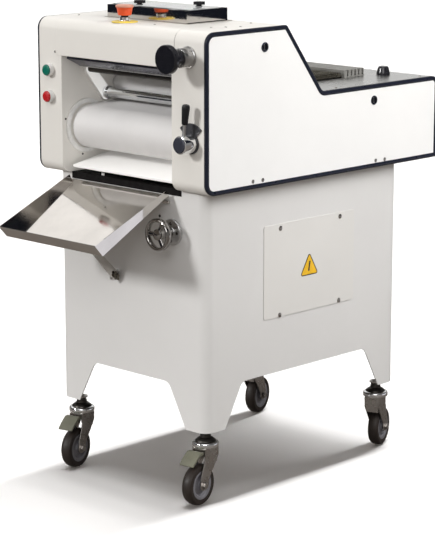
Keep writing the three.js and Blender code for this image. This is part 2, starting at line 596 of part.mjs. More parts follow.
function makeCabinet() {
  const top = HEAD_BOTTOM - GAP;
  const shell = prism('z', cabinetPlan(0), CABINET_BOTTOM, top);
  const hollow = prism('z', cabinetPlan(CABINET_WALL), CABINET_BOTTOM - 1, top - CABINET_WALL);
  const sideArch = prism('y', archOutline(-CABINET_HALF_WIDTH, CABINET_HALF_WIDTH), -50, 900);
  const frontArch = prism('x', archOutline(CABINET_FRONT, CABINET_BACK), -400, 400);
  const feet = prism('z', cabinetPlan(1), CABINET_BOTTOM, CABINET_BOTTOM + 6).intersect(union(
    ...CASTERS.map(([, side, y]) => {
      const x = side * (CABINET_HALF_WIDTH - CASTER_INSET);
      return block(x - 31, x + 31, y - 31, y + 31, 150, 200);
    }),
  ));
  const holes = CASTERS.map(([, side, y]) =>
    bore('z', side * (CABINET_HALF_WIDTH - CASTER_INSET), y, 6, 150, 200));
  const lugs = [-185, 118].map((x) => block(x, x + 20, 24, CABINET_FRONT + 1, 716, 723));
  const strutLug = block(STRUT.x - 5, STRUT.x - 1, STRUT.y - 12, CABINET_FRONT + 1,
    STRUT.z - 12, STRUT.z + 12).subtract(bore('x', STRUT.y, STRUT.z, 4, -100, 100));
  const body = union(cut(shell, hollow, sideArch, frontArch), feet, strutLug, ...lugs);
  place('cabinet', cut(body, ...holes,
    bore('y', HANDWHEEL.x, HANDWHEEL.z, 6.5, 20, 40),
    block(CHAIN_X[0] - 6, CHAIN_X[1] + 6, 146, 260, 740, 760),
    block(245, 260, PANEL.y0 + 14, PANEL.y1 - 14, PANEL.z0 + 14, PANEL.z1 - 14)), 'cabinet');
  const corners = [
    [PANEL.y0, PANEL.z0, 6], [PANEL.y1, PANEL.z0, 6], [PANEL.y1, PANEL.z1, 6], [PANEL.y0, PANEL.z1, 6],
  ];
  place('inspection_panel', prism('x', rounded(corners, 0, 3), CABINET_HALF_WIDTH + GAP,
    CABINET_HALF_WIDTH + 1.8), 'cover');
}

// ---------------------------------------------------------------- tray
function makeTray() {
  const { x0, x1, length, slope } = TRAY;
  const sheet = 1.5;
  const side = [[0, -sheet], [0, 12], [-length - 8.5, 33], [-length - 0.5, -sheet]];
  const floor = block(x0, x1, -length, 0, -sheet, 0);
  const lip = prism('x', [
    [-length + 1, -sheet], [-length + 1, 0], [-length, 0], [-length - 8.5, 33], [-length - 10, 32.6],
    [-length - 1.8, -sheet],
  ], x0, x1);
  const hinge = rod('x', 0, -sheet - 1.5, 3, x0, x1, 12);
  const tray = union(floor, lip, hinge, prism('x', side, x0, x0 + sheet), prism('x', side, x1 - sheet, x1));
  const mesh = place('discharge_tray', tray, 'steel');
  mesh.position.set(0, TRAY.y, TRAY.z);
  mesh.rotation.x = degrees(slope);
}

function makeStrut() {
  const { x, y, z, length, lean } = STRUT;
  const strap = prism('x', loopOutline({ y: 0, z: 0 }, 11, { y: 0, z: length - 5 }, 5, 4), 0, 3)
    .subtract(bore('x', 0, 0, 4, -5, 5));
  const mesh = place('tray_strut', strap, 'steel');
  mesh.position.set(x, y, z);
  mesh.rotation.x = degrees(lean);
  const bolt = rod('x', y, z, 4, x - 9, x + 14, 8);
  const head = rod('x', y, z, 7, x - 11, x - 5.4, 6);
  const nut = rod('x', y, z, 7, x + 3.4, x + 10, 8);
  const wings = [25, 205].map((angle) =>
    block(6, 9, -3, 3, 4, 12).rotate([angle, 0, 0]).translate([x, y, z]));
  place('strut_bolt', union(bolt, head, nut, ...wings), 'zinc', [x, y, z]);
}

// ---------------------------------------------------------------- casters
function makeCaster(name, side, y, turnAngle, braked) {
  const holder = new THREE.Group();
  holder.position.set(side * (CABINET_HALF_WIDTH - CASTER_INSET), y, 0);
  holder.rotation.z = degrees(turnAngle);
  machine.add(holder);
  const stem = turned('z', 0, 0, [
    [0, 151.4], [24, 151.4], [21, 157], [13, 163], [13, 177.6], [6, 177.6], [6, 188], [0, 188],
  ], 10);
  place(`caster_stem_${name}`, stem, 'black', [0, 0, 0], holder);
  const crown = turned('z', 0, 0, [
    [0, 137], [31.5, 138], [31.5, 148], [29, 151], [0, 151],
  ]);
  const outline = [[26, 139], [25, 118], [-14, 58], [-17, 44], [-30, 37], [-43, 48], [-26, 139]];
  const cheeks = [[-19.5, -16.5], [16.5, 19.5]].map(([x0, x1]) => prism('x', outline, x0, x1));
  const axle = rod('x', -CASTER_TRAIL, WHEEL_RADIUS, 5, -23, 23, 8);
  place(`caster_fork_${name}`, union(crown, axle, ...cheeks), 'zinc', [0, 0, 0], holder);
  const round = 24;
  const rimRadius = WHEEL_RADIUS / Math.cos(Math.PI / round);
  const tread = circle(-CASTER_TRAIL, WHEEL_RADIUS, rimRadius, round, Math.PI / round);
  const wheel = prism('x', tread, -14, 14).subtract(bore('x', -CASTER_TRAIL, WHEEL_RADIUS, 5, -20, 20));
  place(`caster_wheel_${name}`, wheel, 'tyre', [0, -CASTER_TRAIL, WHEEL_RADIUS], holder);
  if (braked) {
    const pedal = prism('x', [
      [-36, 132], [-36, 127], [-60, 114], [-72, 104], [-76, 106], [-64, 119], [-46, 132],
    ], -20, 20);
    place(`brake_pedal_${name}`, pedal, 'pedal', [0, -36, 130], holder);
  }
}

// ---------------------------------------------------------------- assembly
for (const side of [-1, 1]) {
  makeHousing(side);
  makeCover(side);
}
makeHood();
makeDeck();
makeHopper();
makePushButton('start', START_Z, 'green');
makePushButton('stop', STOP_Z, 'red');
makeEmergencyStop();
makeGapKnob();
makeGapLever();
makeHandwheel();
makeDeckKnob();
makeRollers();
makeSwingFrame();
makeConveyor();
makePressureBoard();
makeMat();
makeGuard();
makeDrive();
makeCabinet();
makeTray();
makeStrut();
for (const caster of CASTERS) makeCaster(...caster);

// The front of the tray and the back of the head are the two ends of the machine.
const trayTip = new THREE.Vector3(0, -TRAY.length - 10, 32.6).applyAxisAngle(
  new THREE.Vector3(1, 0, 0), degrees(TRAY.slope));
machine.position.y = -(TRAY.y + trayTip.y + HEAD_DEPTH) / 2;

export default machine;
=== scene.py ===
"""Looks of the dough sheeter: fine surfaces, materials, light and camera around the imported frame.

Sizes are in millimetres in the machine's own coordinates: x from the middle of the head, y from the
front of the head towards the back, z up from the floor. place() turns them into the frame's metres.
"""
import json
from math import acos, atan2, copysign, cos, hypot, pi, radians, sin, tan, tau

import bmesh
import bpy
from mathutils import Matrix, Vector

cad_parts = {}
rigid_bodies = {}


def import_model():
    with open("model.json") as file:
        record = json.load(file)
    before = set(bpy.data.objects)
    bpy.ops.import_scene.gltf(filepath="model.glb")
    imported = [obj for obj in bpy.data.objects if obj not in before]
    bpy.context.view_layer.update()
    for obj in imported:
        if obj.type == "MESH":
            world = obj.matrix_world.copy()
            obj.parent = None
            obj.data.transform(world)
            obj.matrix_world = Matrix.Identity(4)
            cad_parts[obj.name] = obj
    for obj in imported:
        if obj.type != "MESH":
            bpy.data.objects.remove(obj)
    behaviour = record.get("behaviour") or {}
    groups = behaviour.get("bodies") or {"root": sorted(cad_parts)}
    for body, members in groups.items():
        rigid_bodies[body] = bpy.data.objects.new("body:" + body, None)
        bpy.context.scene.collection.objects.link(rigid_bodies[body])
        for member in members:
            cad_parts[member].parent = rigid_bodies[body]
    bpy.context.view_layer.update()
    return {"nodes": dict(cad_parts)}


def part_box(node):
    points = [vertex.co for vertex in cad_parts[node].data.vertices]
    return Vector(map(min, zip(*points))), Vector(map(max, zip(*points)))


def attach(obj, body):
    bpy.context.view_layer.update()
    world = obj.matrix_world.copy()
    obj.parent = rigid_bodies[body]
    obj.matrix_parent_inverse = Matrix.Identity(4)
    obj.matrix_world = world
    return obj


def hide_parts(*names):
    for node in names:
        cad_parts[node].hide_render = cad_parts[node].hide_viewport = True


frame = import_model()

MM = 0.001
HEAD_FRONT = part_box("right_trim")[0].y


def place(x, y, z):
    return Vector((x * MM, HEAD_FRONT + y * MM, z * MM))


def node_box(node):
    """Corners of a CAD node in the machine's millimetres."""
    low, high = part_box(node)
    shift = Vector((0, HEAD_FRONT, 0))
    return (low - shift) / MM, (high - shift) / MM


# --- driving sizes
HEAD_LOW, HEAD_HIGH = node_box("right_trim")
HEAD_BOTTOM, HEAD_TOP, HEAD_DEPTH = HEAD_LOW.z, HEAD_HIGH.z, HEAD_HIGH.y
HALF_WIDTH = HEAD_HIGH.x
DECK_TOP = 958
SLOPE_TOP_Y = 269
SLOPE_FOOT_Y = 396
SLOPE_SEAM = 975
CORNER = 28
HOUSING_OUTER = 279.5
WALL_LEFT = node_box("left_housing")[1].x
WALL_RIGHT = node_box("right_housing")[0].x
OPENING_TOP = 1037
HOOD_LEFT, HOOD_RIGHT = node_box("top_hood")[0].x, node_box("top_hood")[1].x
CHANNEL_MIDDLE = (WALL_LEFT + WALL_RIGHT) / 2
SHEET = 2
CABINET_LOW, CABINET_HIGH = node_box("cabinet")
CABINET_FRONT = 31
LEG_FOOT, LEG_TOP, ARCH_TOP = 66, 124, 285
PANEL_LOW, PANEL_HIGH = node_box("inspection_panel")
TRIM_WIDTH = 11
COVER_FACE = 285
COVER_INSIDE = 282
LATCHES = [(194, 1079), (586, 919)]
ESTOP = (-31, 50)
HANDWHEEL = (147, 650)
DRUM, DRUM_RADIUS = (78, 862), 50
PULLEY, PULLEY_RADIUS = (775, 912), 38
FRONT_ROLLER, REAR_ROLLER, ROLLER_RADIUS = (180, 960), (249, 972), 32
GUIDE = (136, 939)
WHEEL = (-30, 50)  # a caster's wheel centre, before the caster is turned and put in its place
WIDE = (-400, 400)  # x range that passes the machine on both sides


class Surface:
    """A procedural material: colour mottling, uneven gloss and fine bump on a Principled shader."""

    def __init__(self, name, roughness=0.4, metallic=0.0, **constants):
        self.material = bpy.data.materials.new(name)
        self.material.use_nodes = True
        self.tree = self.material.node_tree
        self.shader = self.tree.nodes["Principled BSDF"]
        self.shader.inputs["Metallic"].default_value = metallic
        self.shader.inputs["Roughness"].default_value = roughness
        for socket, value in constants.items():
            self.shader.inputs[socket.replace("_", " ")].default_value = value
        self.point = self.add("ShaderNodeTexCoord").outputs["Object"]
        self.normal = None

    def add(self, kind, **values):
        node = self.tree.nodes.new(kind)
        for key, value in values.items():
            setattr(node, key, value)
        return node

    def link(self, source, target):
        self.tree.links.new(source, target)

    def stretched(self, scale):
        mapping = self.add("ShaderNodeMapping")
        mapping.inputs["Scale"].default_value = scale
        self.link(self.point, mapping.inputs["Vector"])
        return mapping.outputs["Vector"]

    def noise(self, scale, detail=3.0, stretch=(1, 1, 1)):
        node = self.add("ShaderNodeTexNoise")
        node.inputs["Scale"].default_value = scale
        node.inputs["Detail"].default_value = detail
        node.inputs["Roughness"].default_value = 0.55
        self.link(self.stretched(stretch), node.inputs["Vector"])
        return node.outputs["Fac"]

    def mottle(self, scale, detail, *stops):
        """Base colour that drifts between two stops, each a position and a colour."""
        node = self.add("ShaderNodeValToRGB")
        for element, (position, colour) in zip(node.color_ramp.elements, stops):
            element.position = position
            element.color = (*colour, 1)
        self.link(self.noise(scale, detail), node.inputs["Fac"])
        self.link(node.outputs["Color"], self.shader.inputs["Base Color"])

    def gloss(self, scale, detail, low, high):
        """Roughness that drifts between low and high."""
        node = self.add("ShaderNodeMapRange")
        for socket, value in zip(("From Min", "From Max", "To Min", "To Max"), (0.3, 0.7, low, high)):
            node.inputs[socket].default_value = value
        self.link(self.noise(scale, detail), node.inputs["Value"])
        self.link(node.outputs["Result"], self.shader.inputs["Roughness"])

    def bump(self, height, distance, strength):
        node = self.add("ShaderNodeBump")
        node.inputs["Distance"].default_value = distance
        node.inputs["Strength"].default_value = strength
        self.link(height, node.inputs["Height"])
        if self.normal:
            self.link(self.normal, node.inputs["Normal"])
        self.normal = node.outputs["Normal"]
        self.link(self.normal, self.shader.inputs["Normal"])


def scaled(colour, factor):
    return tuple(min(c * factor, 1) for c in colour)


def powder_coat(name, colour, gloss=0.38, peel=900):
    """Baked paint: faint tonal drift, orange-peel texture and slightly uneven gloss."""
    s = Surface(name, gloss)
    s.mottle(4.5, 4, (0.3, scaled(colour, 0.972)), (0.7, scaled(colour, 1.012)))
    s.gloss(22, 5, gloss - 0.05, gloss + 0.08)
    s.bump(s.noise(peel, 2), 0.00012, 0.35)
    s.bump(s.noise(9, 2), 0.0011, 0.05)
    return s.material


def sheet_metal(name, colour, roughness, stretch=(1, 1, 1), grain=0.25, wave=0.04, smudge=1.0):
    """Rolled or plated metal: directional grain, smudges in the gloss and a slow oil-can wave."""
    s = Surface(name, roughness, 1.0)
    s.mottle(14, 5, (0.25, scaled(colour, 1 - 0.1 * smudge)), (0.75, scaled(colour, 1.03)))
    s.gloss(30, 6, roughness * (1 - 0.3 * smudge), roughness * (1 + 0.7 * smudge))
    s.bump(s.noise(420, 3, stretch), 0.00006, grain)
    s.bump(s.noise(7, 2), 0.004, wave)
    return s.material


def moulded(name, colour, roughness=0.3, texture=650, depth=0.25, **constants):
    """Moulded plastic or rubber with a fine skin texture and handling marks in its gloss."""
    s = Surface(name, roughness, **constants)
    s.mottle(35, 4, (0.3, scaled(colour, 0.86)), (0.72, scaled(colour, 1.1)))
    s.gloss(60, 5, roughness * 0.75, roughness * 1.35)
    s.bump(s.noise(texture, 3), 0.00015, depth)
    return s.material


def belt_cloth(name, colour):
    """Coated conveyor cloth: a fine plain weave under the coating and a dusting of flour."""
    s = Surface(name, 0.55, Sheen_Weight=0.15, Sheen_Roughness=0.4)
    s.mottle(11, 6, (0.3, scaled(colour, 0.95)), (0.7, scaled(colour, 1.02)))
    for axis in ("X", "Z"):
        wave = s.add("ShaderNodeTexWave", wave_type="BANDS", bands_direction=axis)
        wave.inputs["Scale"].default_value = 320
        wave.inputs["Distortion"].default_value = 0.6
        s.link(s.point, wave.inputs["Vector"])
        s.bump(wave.outputs["Fac"], 0.00012, 0.22)
    return s.material


def clear_plastic(name):
    """Acrylic sheet that has gone slightly milky."""
    s = Surface(name, 0.05, Transmission_Weight=0.6, IOR=1.49)
    s.mottle(18, 4, (0.3, (0.80, 0.81, 0.81)), (0.7, (0.90, 0.905, 0.905)))
    s.gloss(45, 6, 0.04, 0.16)
    return s.material


HOUSING = powder_coat("housing_paint", (0.76, 0.735, 0.69), 0.36)
COVER = powder_coat("cover_paint", (0.86, 0.855, 0.84), 0.34)
# Near-black for painted shade: sheets put where the head, cabinet and net show only shade.
SHADE_BLACK = moulded("dark_lining", (0.007, 0.006, 0.006), 0.7, Specular_IOR_Level=0.12)
# Same paint as the side covers, made darker to paint the shade on the cabinet under the head.
CABINET_PAINT_WITH_SHADE = powder_coat("cabinet_paint", (0.70, 0.69, 0.675), 0.42)
# Cover paint made darker, like the cabinet's, to paint the shade on the cabinet side.
PANEL_PAINT_WITH_SHADE = powder_coat("panel_paint", (0.71, 0.695, 0.665), 0.4)
# Whiter than the cover and housing paint it stands for: painted light on the board and swing arms.
WHITE_WITH_PAINTED_LIGHT = powder_coat("board_coating", (0.95, 0.94, 0.92), 0.4)
ROLLER = powder_coat("roller_grey", (0.66, 0.65, 0.645), 0.3, 600)
STAINLESS = sheet_metal("mirror_stainless", (0.63, 0.605, 0.575), 0.06, (1, 0.04, 1))
DECK_STEEL = sheet_metal("deck_stainless", (0.60, 0.595, 0.585), 0.27, (1, 0.05, 1), 0.15, 0.012, 0.3)
# Stainless darkened to paint dark reflections on the guard blade and latch rims: painted reflection.
DARK_REFLECTION_STAINLESS = sheet_metal("guard_stainless", (0.11, 0.11, 0.15), 0.2, (0.04, 1, 1))
CHROME = sheet_metal("chrome", (0.86, 0.87, 0.88), 0.045, grain=0.05, wave=0.01)
# Chrome darkened to paint the dark reflections on the handwheel: painted reflection.
DARK_REFLECTION_CHROME = sheet_metal("black_chrome", (0.36, 0.345, 0.33), 0.05, grain=0.05, wave=0.01)
SATIN_CHROME = sheet_metal("satin_chrome", (0.58, 0.58, 0.58), 0.3, (1, 0.05, 1), 0.3)
CAST_METAL = sheet_metal("cast_metal", (0.46, 0.455, 0.45), 0.26, grain=0.4)
ZINC = sheet_metal("zinc_steel", (0.50, 0.475, 0.45), 0.24, grain=0.2)
DARK_STEEL = sheet_metal("dark_steel", (0.07, 0.065, 0.06), 0.32, grain=0.3)
CHAIN = sheet_metal("oiled_steel", (0.17, 0.155, 0.125), 0.33, grain=0.3)
NET_WIRE = sheet_metal("net_wire", (0.22, 0.205, 0.165), 0.24, grain=0.3)
BAR_GREY = moulded("bar_grey", (0.22, 0.215, 0.20), 0.4)
RUBBER = moulded("rubber_trim", (0.008, 0.010, 0.020), 0.34, 500, 0.12, Specular_IOR_Level=0.3)
BLACK = moulded("black_plastic", (0.010, 0.010, 0.013), 0.16)
BLACK_GRIP = moulded("black_grip", (0.009, 0.009, 0.010), 0.34, 420, 0.4, Specular_IOR_Level=0.3)
TYRE = moulded("tyre_rubber", (0.024, 0.018, 0.015), 0.46, 260, 0.5, Specular_IOR_Level=0.3)
HUB = moulded("hub_plastic", (0.17, 0.165, 0.18), 0.35, 500, 0.3)
PEDAL = moulded("pedal_plastic", (0.13, 0.128, 0.092), 0.5, 380, 0.5)
RED = moulded("red_plastic", (0.50, 0.018, 0.022), 0.25, 700, 0.15)
GREEN = moulded("green_plastic", (0.004, 0.15, 0.10), 0.25, 700, 0.15)
ORANGE = moulded("orange_plastic", (0.72, 0.085, 0.02), 0.34, 700, 0.15)
PALE_ORANGE = moulded("pale_orange_plastic", (0.55, 0.25, 0.17), 0.4, 700, 0.15)
YELLOW = moulded("yellow_plastic", (0.82, 0.60, 0.07), 0.4, 500, 0.2)
SIGN_YELLOW = moulded("sign_yellow", (0.86, 0.50, 0.02), 0.45, 800, 0.1)
SIGN_DARK = moulded("sign_dark", (0.03, 0.03, 0.03), 0.45, 800, 0.1)
WHITE_PLASTIC = moulded("white_plastic", (0.80, 0.79, 0.77), 0.3, 600, 0.15)
BELT = belt_cloth("belt_white", (0.68, 0.665, 0.655))
SCALE_GREY = moulded("scale_grey", (0.05, 0.05, 0.055), 0.3)
CAP_GREY = moulded("cap_grey", (0.035, 0.037, 0.05), 0.2)
CLEAR = clear_plastic("clear_plate")


# --- shapes
def add_object(name, data):
    item = bpy.data.objects.new(name, data)
    bpy.context.scene.collection.objects.link(item)
    return item


def to_object(name, edit):
    mesh = bpy.data.meshes.new(name)
    edit.to_mesh(mesh)
    edit.free()
    return add_object(name, mesh)


def solid(name, edit):
    bmesh.ops.recalc_face_normals(edit, faces=edit.faces)
    return to_object(name, edit)


def axis_point(axis, u, v, w):
    """Machine point from the two outline coordinates and the distance along the axis."""
    return {"x": (w, u, v), "y": (u, w, v), "z": (u, v, w)}[axis]


def polar(u, v, radius, angle):
    return u + radius * cos(angle), v + radius * sin(angle)


def circle(u, v, radius, segments=48):
    return [polar(u, v, radius, tau * i / segments) for i in range(segments)]


def ring_of(edit, axis, outline, along):
    """Vertices of an outline at a distance along the axis."""
    return [edit.verts.new(place(*axis_point(axis, u, v, along))) for u, v in outline]


def prism(name, axis, outline, start, end):
    """Solid between two copies of an outline: [y, z] along x, [x, z] along y, [x, y] along z."""
    edit = bmesh.new()
    rings = [ring_of(edit, axis, outline, along) for along in (start, end)]
    edit.faces.new(rings[0])
    edit.faces.new(rings[1])
    count = len(outline)
    for i in range(count):
        j = (i + 1) % count
        edit.faces.new((rings[0][i], rings[0][j], rings[1][j], rings[1][i]))
    return solid(name, edit)


def block(name, x0, x1, y0, y1, z0, z1):
    return prism(name, "z", [(x0, y0), (x1, y0), (x1, y1), (x0, y1)], z0, z1)


def lathe(name, axis, u, v, profile, segments=64, base=0):
    """Turned solid from pairs of radius and distance along the axis from base.

    A profile that starts with radius zero ends on the axis; any other one closes on itself.
    """
    edit = bmesh.new()
    rings = [ring_of(edit, axis, circle(u, v, radius, segments) if radius else [(u, v)],
                     base + along) for radius, along in profile]
    pairs = list(zip(rings, rings[1:]))
    if profile[0][0]:
        pairs.append((rings[-1], rings[0]))
    for low, high in pairs:
        for i in range(segments):
            j = (i + 1) % segments
            corners = [ring[k % len(ring)] for ring, k in ((low, i), (low, j), (high, j), (high, i))]
            unique = list(dict.fromkeys(corners))
            if len(unique) > 2:
                edit.faces.new(unique)
    return solid(name, edit)


def rod(name, axis, u, v, radius, start, end, segments=48):
    return prism(name, axis, circle(u, v, radius, segments), start, end)


def rounded(corners, inset=0.0, steps=10):
    """Outline with rounded corners (u, v, radius), anticlockwise, moved inwards by inset."""
    count = len(corners)
    edges = []
    for i, (u, v, _) in enumerate(corners):
        nu, nv, _ = corners[(i + 1) % count]
        length = hypot(nu - u, nv - v)
        du, dv = (nu - u) / length, (nv - v) / length
        edges.append((u - dv * inset, v + du * inset, du, dv))
    outline = []
    for i, (nu, nv, ndu, ndv) in enumerate(edges):
        lu, lv, ldu, ldv = edges[i - 1]
        cross = ldu * ndv - ldv * ndu
        along = ((nu - lu) * ndv - (nv - lv) * ndu) / cross
        cu, cv = lu + ldu * along, lv + ldv * along
        if not corners[i][2]:
            outline.append((cu, cv))
            continue
        radius = max(corners[i][2] - copysign(inset, cross), 0.3)
        turn = atan2(cross, ldu * ndu + ldv * ndv)
        back = radius * tan(abs(turn) / 2)
        side = copysign(radius, turn)
        mu, mv = cu - ldu * back - ldv * side, cv - ldv * back + ldu * side
        start = atan2(cv - ldv * back - mv, cu - ldu * back - mu)
        outline += [polar(mu, mv, radius, start + turn * k / steps) for k in range(steps + 1)]
    return outline


def rounded_box(u0, v0, u1, v1, radius, inset=0.0, steps=10):
    """Rectangle with four equal rounded corners."""
    corners = [(u, v, radius) for u, v in ((u0, v0), (u1, v0), (u1, v1), (u0, v1))]
    return rounded(corners, inset, steps)


def belt_outline(first, first_radius, second, second_radius, steps=28):
    """Line of a belt round two wheels whose centres are (y, z)."""
    dy, dz = second[0] - first[0], second[1] - first[1]
    heading = atan2(dz, dy)
    wrap = acos((first_radius - second_radius) / hypot(dy, dz))
    line = []
    for (cy, cz), radius, start, end in (
        (first, first_radius, heading + wrap, heading + tau - wrap),
        (second, second_radius, heading - wrap, heading + wrap),
    ):
        for i in range(steps + 1):
            line.append(polar(cy, cz, radius, start + (end - start) * i / steps))
    return line


def combine(target, operation, *tools):
    """Boolean of target with each tool, applied; the tools are used up."""
    for tool in tools:
        modifier = target.modifiers.new("combine", "BOOLEAN")
        modifier.operation = operation
        modifier.solver = "EXACT"
        modifier.object = tool
        graph = bpy.context.evaluated_depsgraph_get()
        mesh = bpy.data.meshes.new_from_object(target.evaluated_get(graph))
        target.modifiers.clear()
        old = target.data
        target.data = mesh
        bpy.data.meshes.remove(old)
        bpy.data.objects.remove(tool)
    return target


def cut(target, *tools):
    return combine(target, "DIFFERENCE", *tools)


def join(name, objects):
    """One object that holds several closed meshes."""
    edit = bmesh.new()
    for item in objects:
        edit.from_mesh(item.data)
        bpy.data.objects.remove(item)
    return to_object(name, edit)


def turn_about(item, centre, axis, angle):
    """Turns a mesh about a machine point; the object stays at the origin."""
    middle = Matrix.Translation(place(*centre))
    item.data.transform(middle @ Matrix.Rotation(radians(angle), 4, axis) @ middle.inverted())
    return item


def finish_edges(item, bevel, segments=3, angle=32):
    item.data.shade_smooth()
    item.data.set_sharp_from_angle(angle=radians(angle + 6))
    if bevel:
        modifier = item.modifiers.new("edges", "BEVEL")
        modifier.width = bevel * MM
        modifier.segments = segments
        modifier.limit_method = "ANGLE"
        modifier.angle_limit = radians(angle)
        modifier.harden_normals = True
        modifier.use_clamp_overlap = True
        modifier.miter_outer = "MITER_ARC"


def piece(item, material, bevel, node=None, body="machine", slot=None, segments=3, angle=32):
    """Finishes a piece: its material, soft edges, the body it rides on and the CAD node it stands for.

    Its slot argument is not used.
    """
    item.data.materials.clear()
    item.data.materials.append(material)
    finish_edges(item, bevel, segments, angle)
    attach(item, body)
    if node:
        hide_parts(node)


def turned(name, axis, u, v, profile, segments, *finish, base=0, **edges):
    """Turned piece, finished."""
    piece(lathe(name, axis, u, v, profile, segments, base), *finish, **edges)


def dress(node, material, bevel=0.4, segments=2):
    """Keeps a CAD node and gives it its material and softened edges."""
    item = frame["nodes"][node]
    item.data.materials.clear()
    item.data.materials.append(material)
    finish_edges(item, bevel, segments)


def screw(name, axis, u, v, surface, radius, out=1, material=ZINC, rise=0.58):
    """Domed screw with a cross slot that stands out of a face; rise is its height over its radius."""
    low, high = out * radius * rise * 0.43, out * radius * rise
    head = lathe(name, axis, u, v, [
        (0, surface - out * 0.4), (radius, surface - out * 0.4), (radius, surface + low),
        (radius * 0.75, surface + low + (high - low) * 0.75), (0, surface + high)], 28)
    a, b = radius * 0.55, radius * 0.12
    bar = [(-a, -b), (a, -b), (a, b), (-a, b)]
    depth = sorted((surface + low, surface + out * radius))
    for arm in (bar, [(-dv, du) for du, dv in bar]):
        cut(head, prism("slot", axis, [(u + du, v + dv) for du, dv in arm], *depth))
    piece(head, material, 0, slot="zinc_steel")


# --- head
HEAD_CORNERS = [
    (0, HEAD_BOTTOM, CORNER), (HEAD_DEPTH, HEAD_BOTTOM, 4), (HEAD_DEPTH, DECK_TOP, 20),
    (SLOPE_FOOT_Y, DECK_TOP, 20), (SLOPE_TOP_Y, HEAD_TOP, 14), (0, HEAD_TOP, CORNER),
]
HEAD_SCREWS = [(66, 54), (210, 94), (226, 126), (242, 158), (201, 236), (-240, 94), (-240, 220)]
SEAM = 1.5


def head_prism(name, inset, x0, x1):
    return prism(name, "x", rounded(HEAD_CORNERS, inset), x0, x1)


def head_skin(name, outer, inner, x0, x1):
    return cut(head_prism(name, outer, x0, x1), head_prism("core", inner, x0 - 1, x1 + 1))


def keep_hood(item, clearance=0.0):
    """Leaves what is above the front opening and ahead of the deck."""
    return cut(item, block("below", *WIDE, -50, 900, 700, SLOPE_SEAM - clearance),
               block("opening", *WIDE, -60, 120, 900, OPENING_TOP - clearance))


def keep_deck(item, clearance=0.0):
    """Leaves the deck, the foot of its slope and its folded end."""
    return cut(item, block("front_part", *WIDE, -50, 300, 700, 1200),
               block("upper_part", *WIDE, -50, 900, SLOPE_SEAM - clearance, 1300),
               block("lower_part", *WIDE, -50, 900, 700, HEAD_BOTTOM + 3))


def chain_slot(low):
    """Where the drive chain passes from the cabinet into the head."""
    return block("chain_slot", 196, 216, 146, 260, low, low + 20)


def make_hood():
    hood = keep_hood(head_skin("hood_sheet", 0, SHEET, HOOD_LEFT, HOOD_RIGHT - SEAM))
    low, high = node_box("hopper")
    cut(hood, block("mouth", low.x + 7, high.x - 7, low.y + 1.5, high.y - 7, 1100, 1200),
        rod("stem_hole", "z", *ESTOP, 10, 1100, 1200))
    piece(hood, HOUSING, 0.5, "top_hood")
    seal = keep_hood(head_skin("hood_seal", 0.9, 3.8, HOOD_RIGHT - SEAM + 0.1, HOOD_RIGHT - 0.05))
    piece(seal, RUBBER, 0)
    for i, (x, y) in enumerate(HEAD_SCREWS):
        screw(f"head_screw_{i}", "z", x, y, HEAD_TOP, 3)
    screw("hood_front_screw", "y", HOOD_LEFT - 6, 1045, 0, 3, -1)


def make_housing(side, word):
    inner, edge = (WALL_LEFT, HOOD_LEFT) if side < 0 else (WALL_RIGHT, HOOD_RIGHT)
    x0, x1 = sorted((side * HOUSING_OUTER, inner))
    cavity = sorted((side * (HOUSING_OUTER + 1), inner + side * 2.5))
    shell = cut(head_prism(f"housing_{word}", 0, x0, x1), head_prism("cavity", 4, *cavity))
    cut(shell, keep_hood(head_skin("rebate", -2, 4.2, *sorted((edge, inner - side))), 0.3))
    cut(shell, keep_deck(head_skin("deck_rebate", -2, SHEET + 0.3, x0 - 1, x1 + 1)))
    for centre in (DRUM, PULLEY, FRONT_ROLLER):
        cut(shell, rod("journal", "x", *centre, 12.6, inner - 5, inner + 5))
    if side > 0:
        cut(shell, chain_slot(745))
    piece(shell, HOUSING, 0.8, f"{word}_housing")


def trim_section(side):
    """Rounded rubber strip as (depth from the outline, x)."""
    outer_face, inner_face = side * HALF_WIDTH, side * (HOUSING_OUTER + 0.3)
    middle = (outer_face + inner_face) / 2
    half = abs(outer_face - inner_face) / 2
    points = [(TRIM_WIDTH, inner_face), (0.6, inner_face)]
    bend = TRIM_WIDTH / 2
    for i in range(9):
        angle = pi * i / 8
        lift = side * half * (0.35 + 0.65 * sin(angle))
        points.append((bend - bend * cos(angle), middle + lift))
    return points


def make_trim(side, word):
    """Rubber strip swept round the edge of a side cover."""
    edit = bmesh.new()
    rings = [ring_of(edit, "x", rounded(HEAD_CORNERS, depth), x) for depth, x in trim_section(side)]
    for k, ring in enumerate(rings):
        following = rings[(k + 1) % len(rings)]
        for i in range(len(ring)):
            j = (i + 1) % len(ring)
            edit.faces.new((ring[i], ring[j], following[j], following[i]))
    piece(solid(f"edge_trim_{word}", edit), RUBBER, 0, f"{word}_trim", angle=50)


def make_cover(side, word):
    x0, x1 = sorted((side * COVER_INSIDE, side * COVER_FACE))
    panel = head_prism(f"cover_{word}", TRIM_WIDTH - 0.3, x0, x1)
    if side > 0:
        for y, z in LATCHES:
            cut(panel, rod("latch_hole", "x", y, z, 11.1, 270, 300))
    piece(panel, COVER, 0.9, f"{word}_cover")
    for i, (y, z) in enumerate(((156, 770), (189, 770), (596, 769), (630, 768))):
        screw(f"cover_screw_{word}_{i}", "x", y, z, side * COVER_FACE, 4.6, side, rise=0.4)


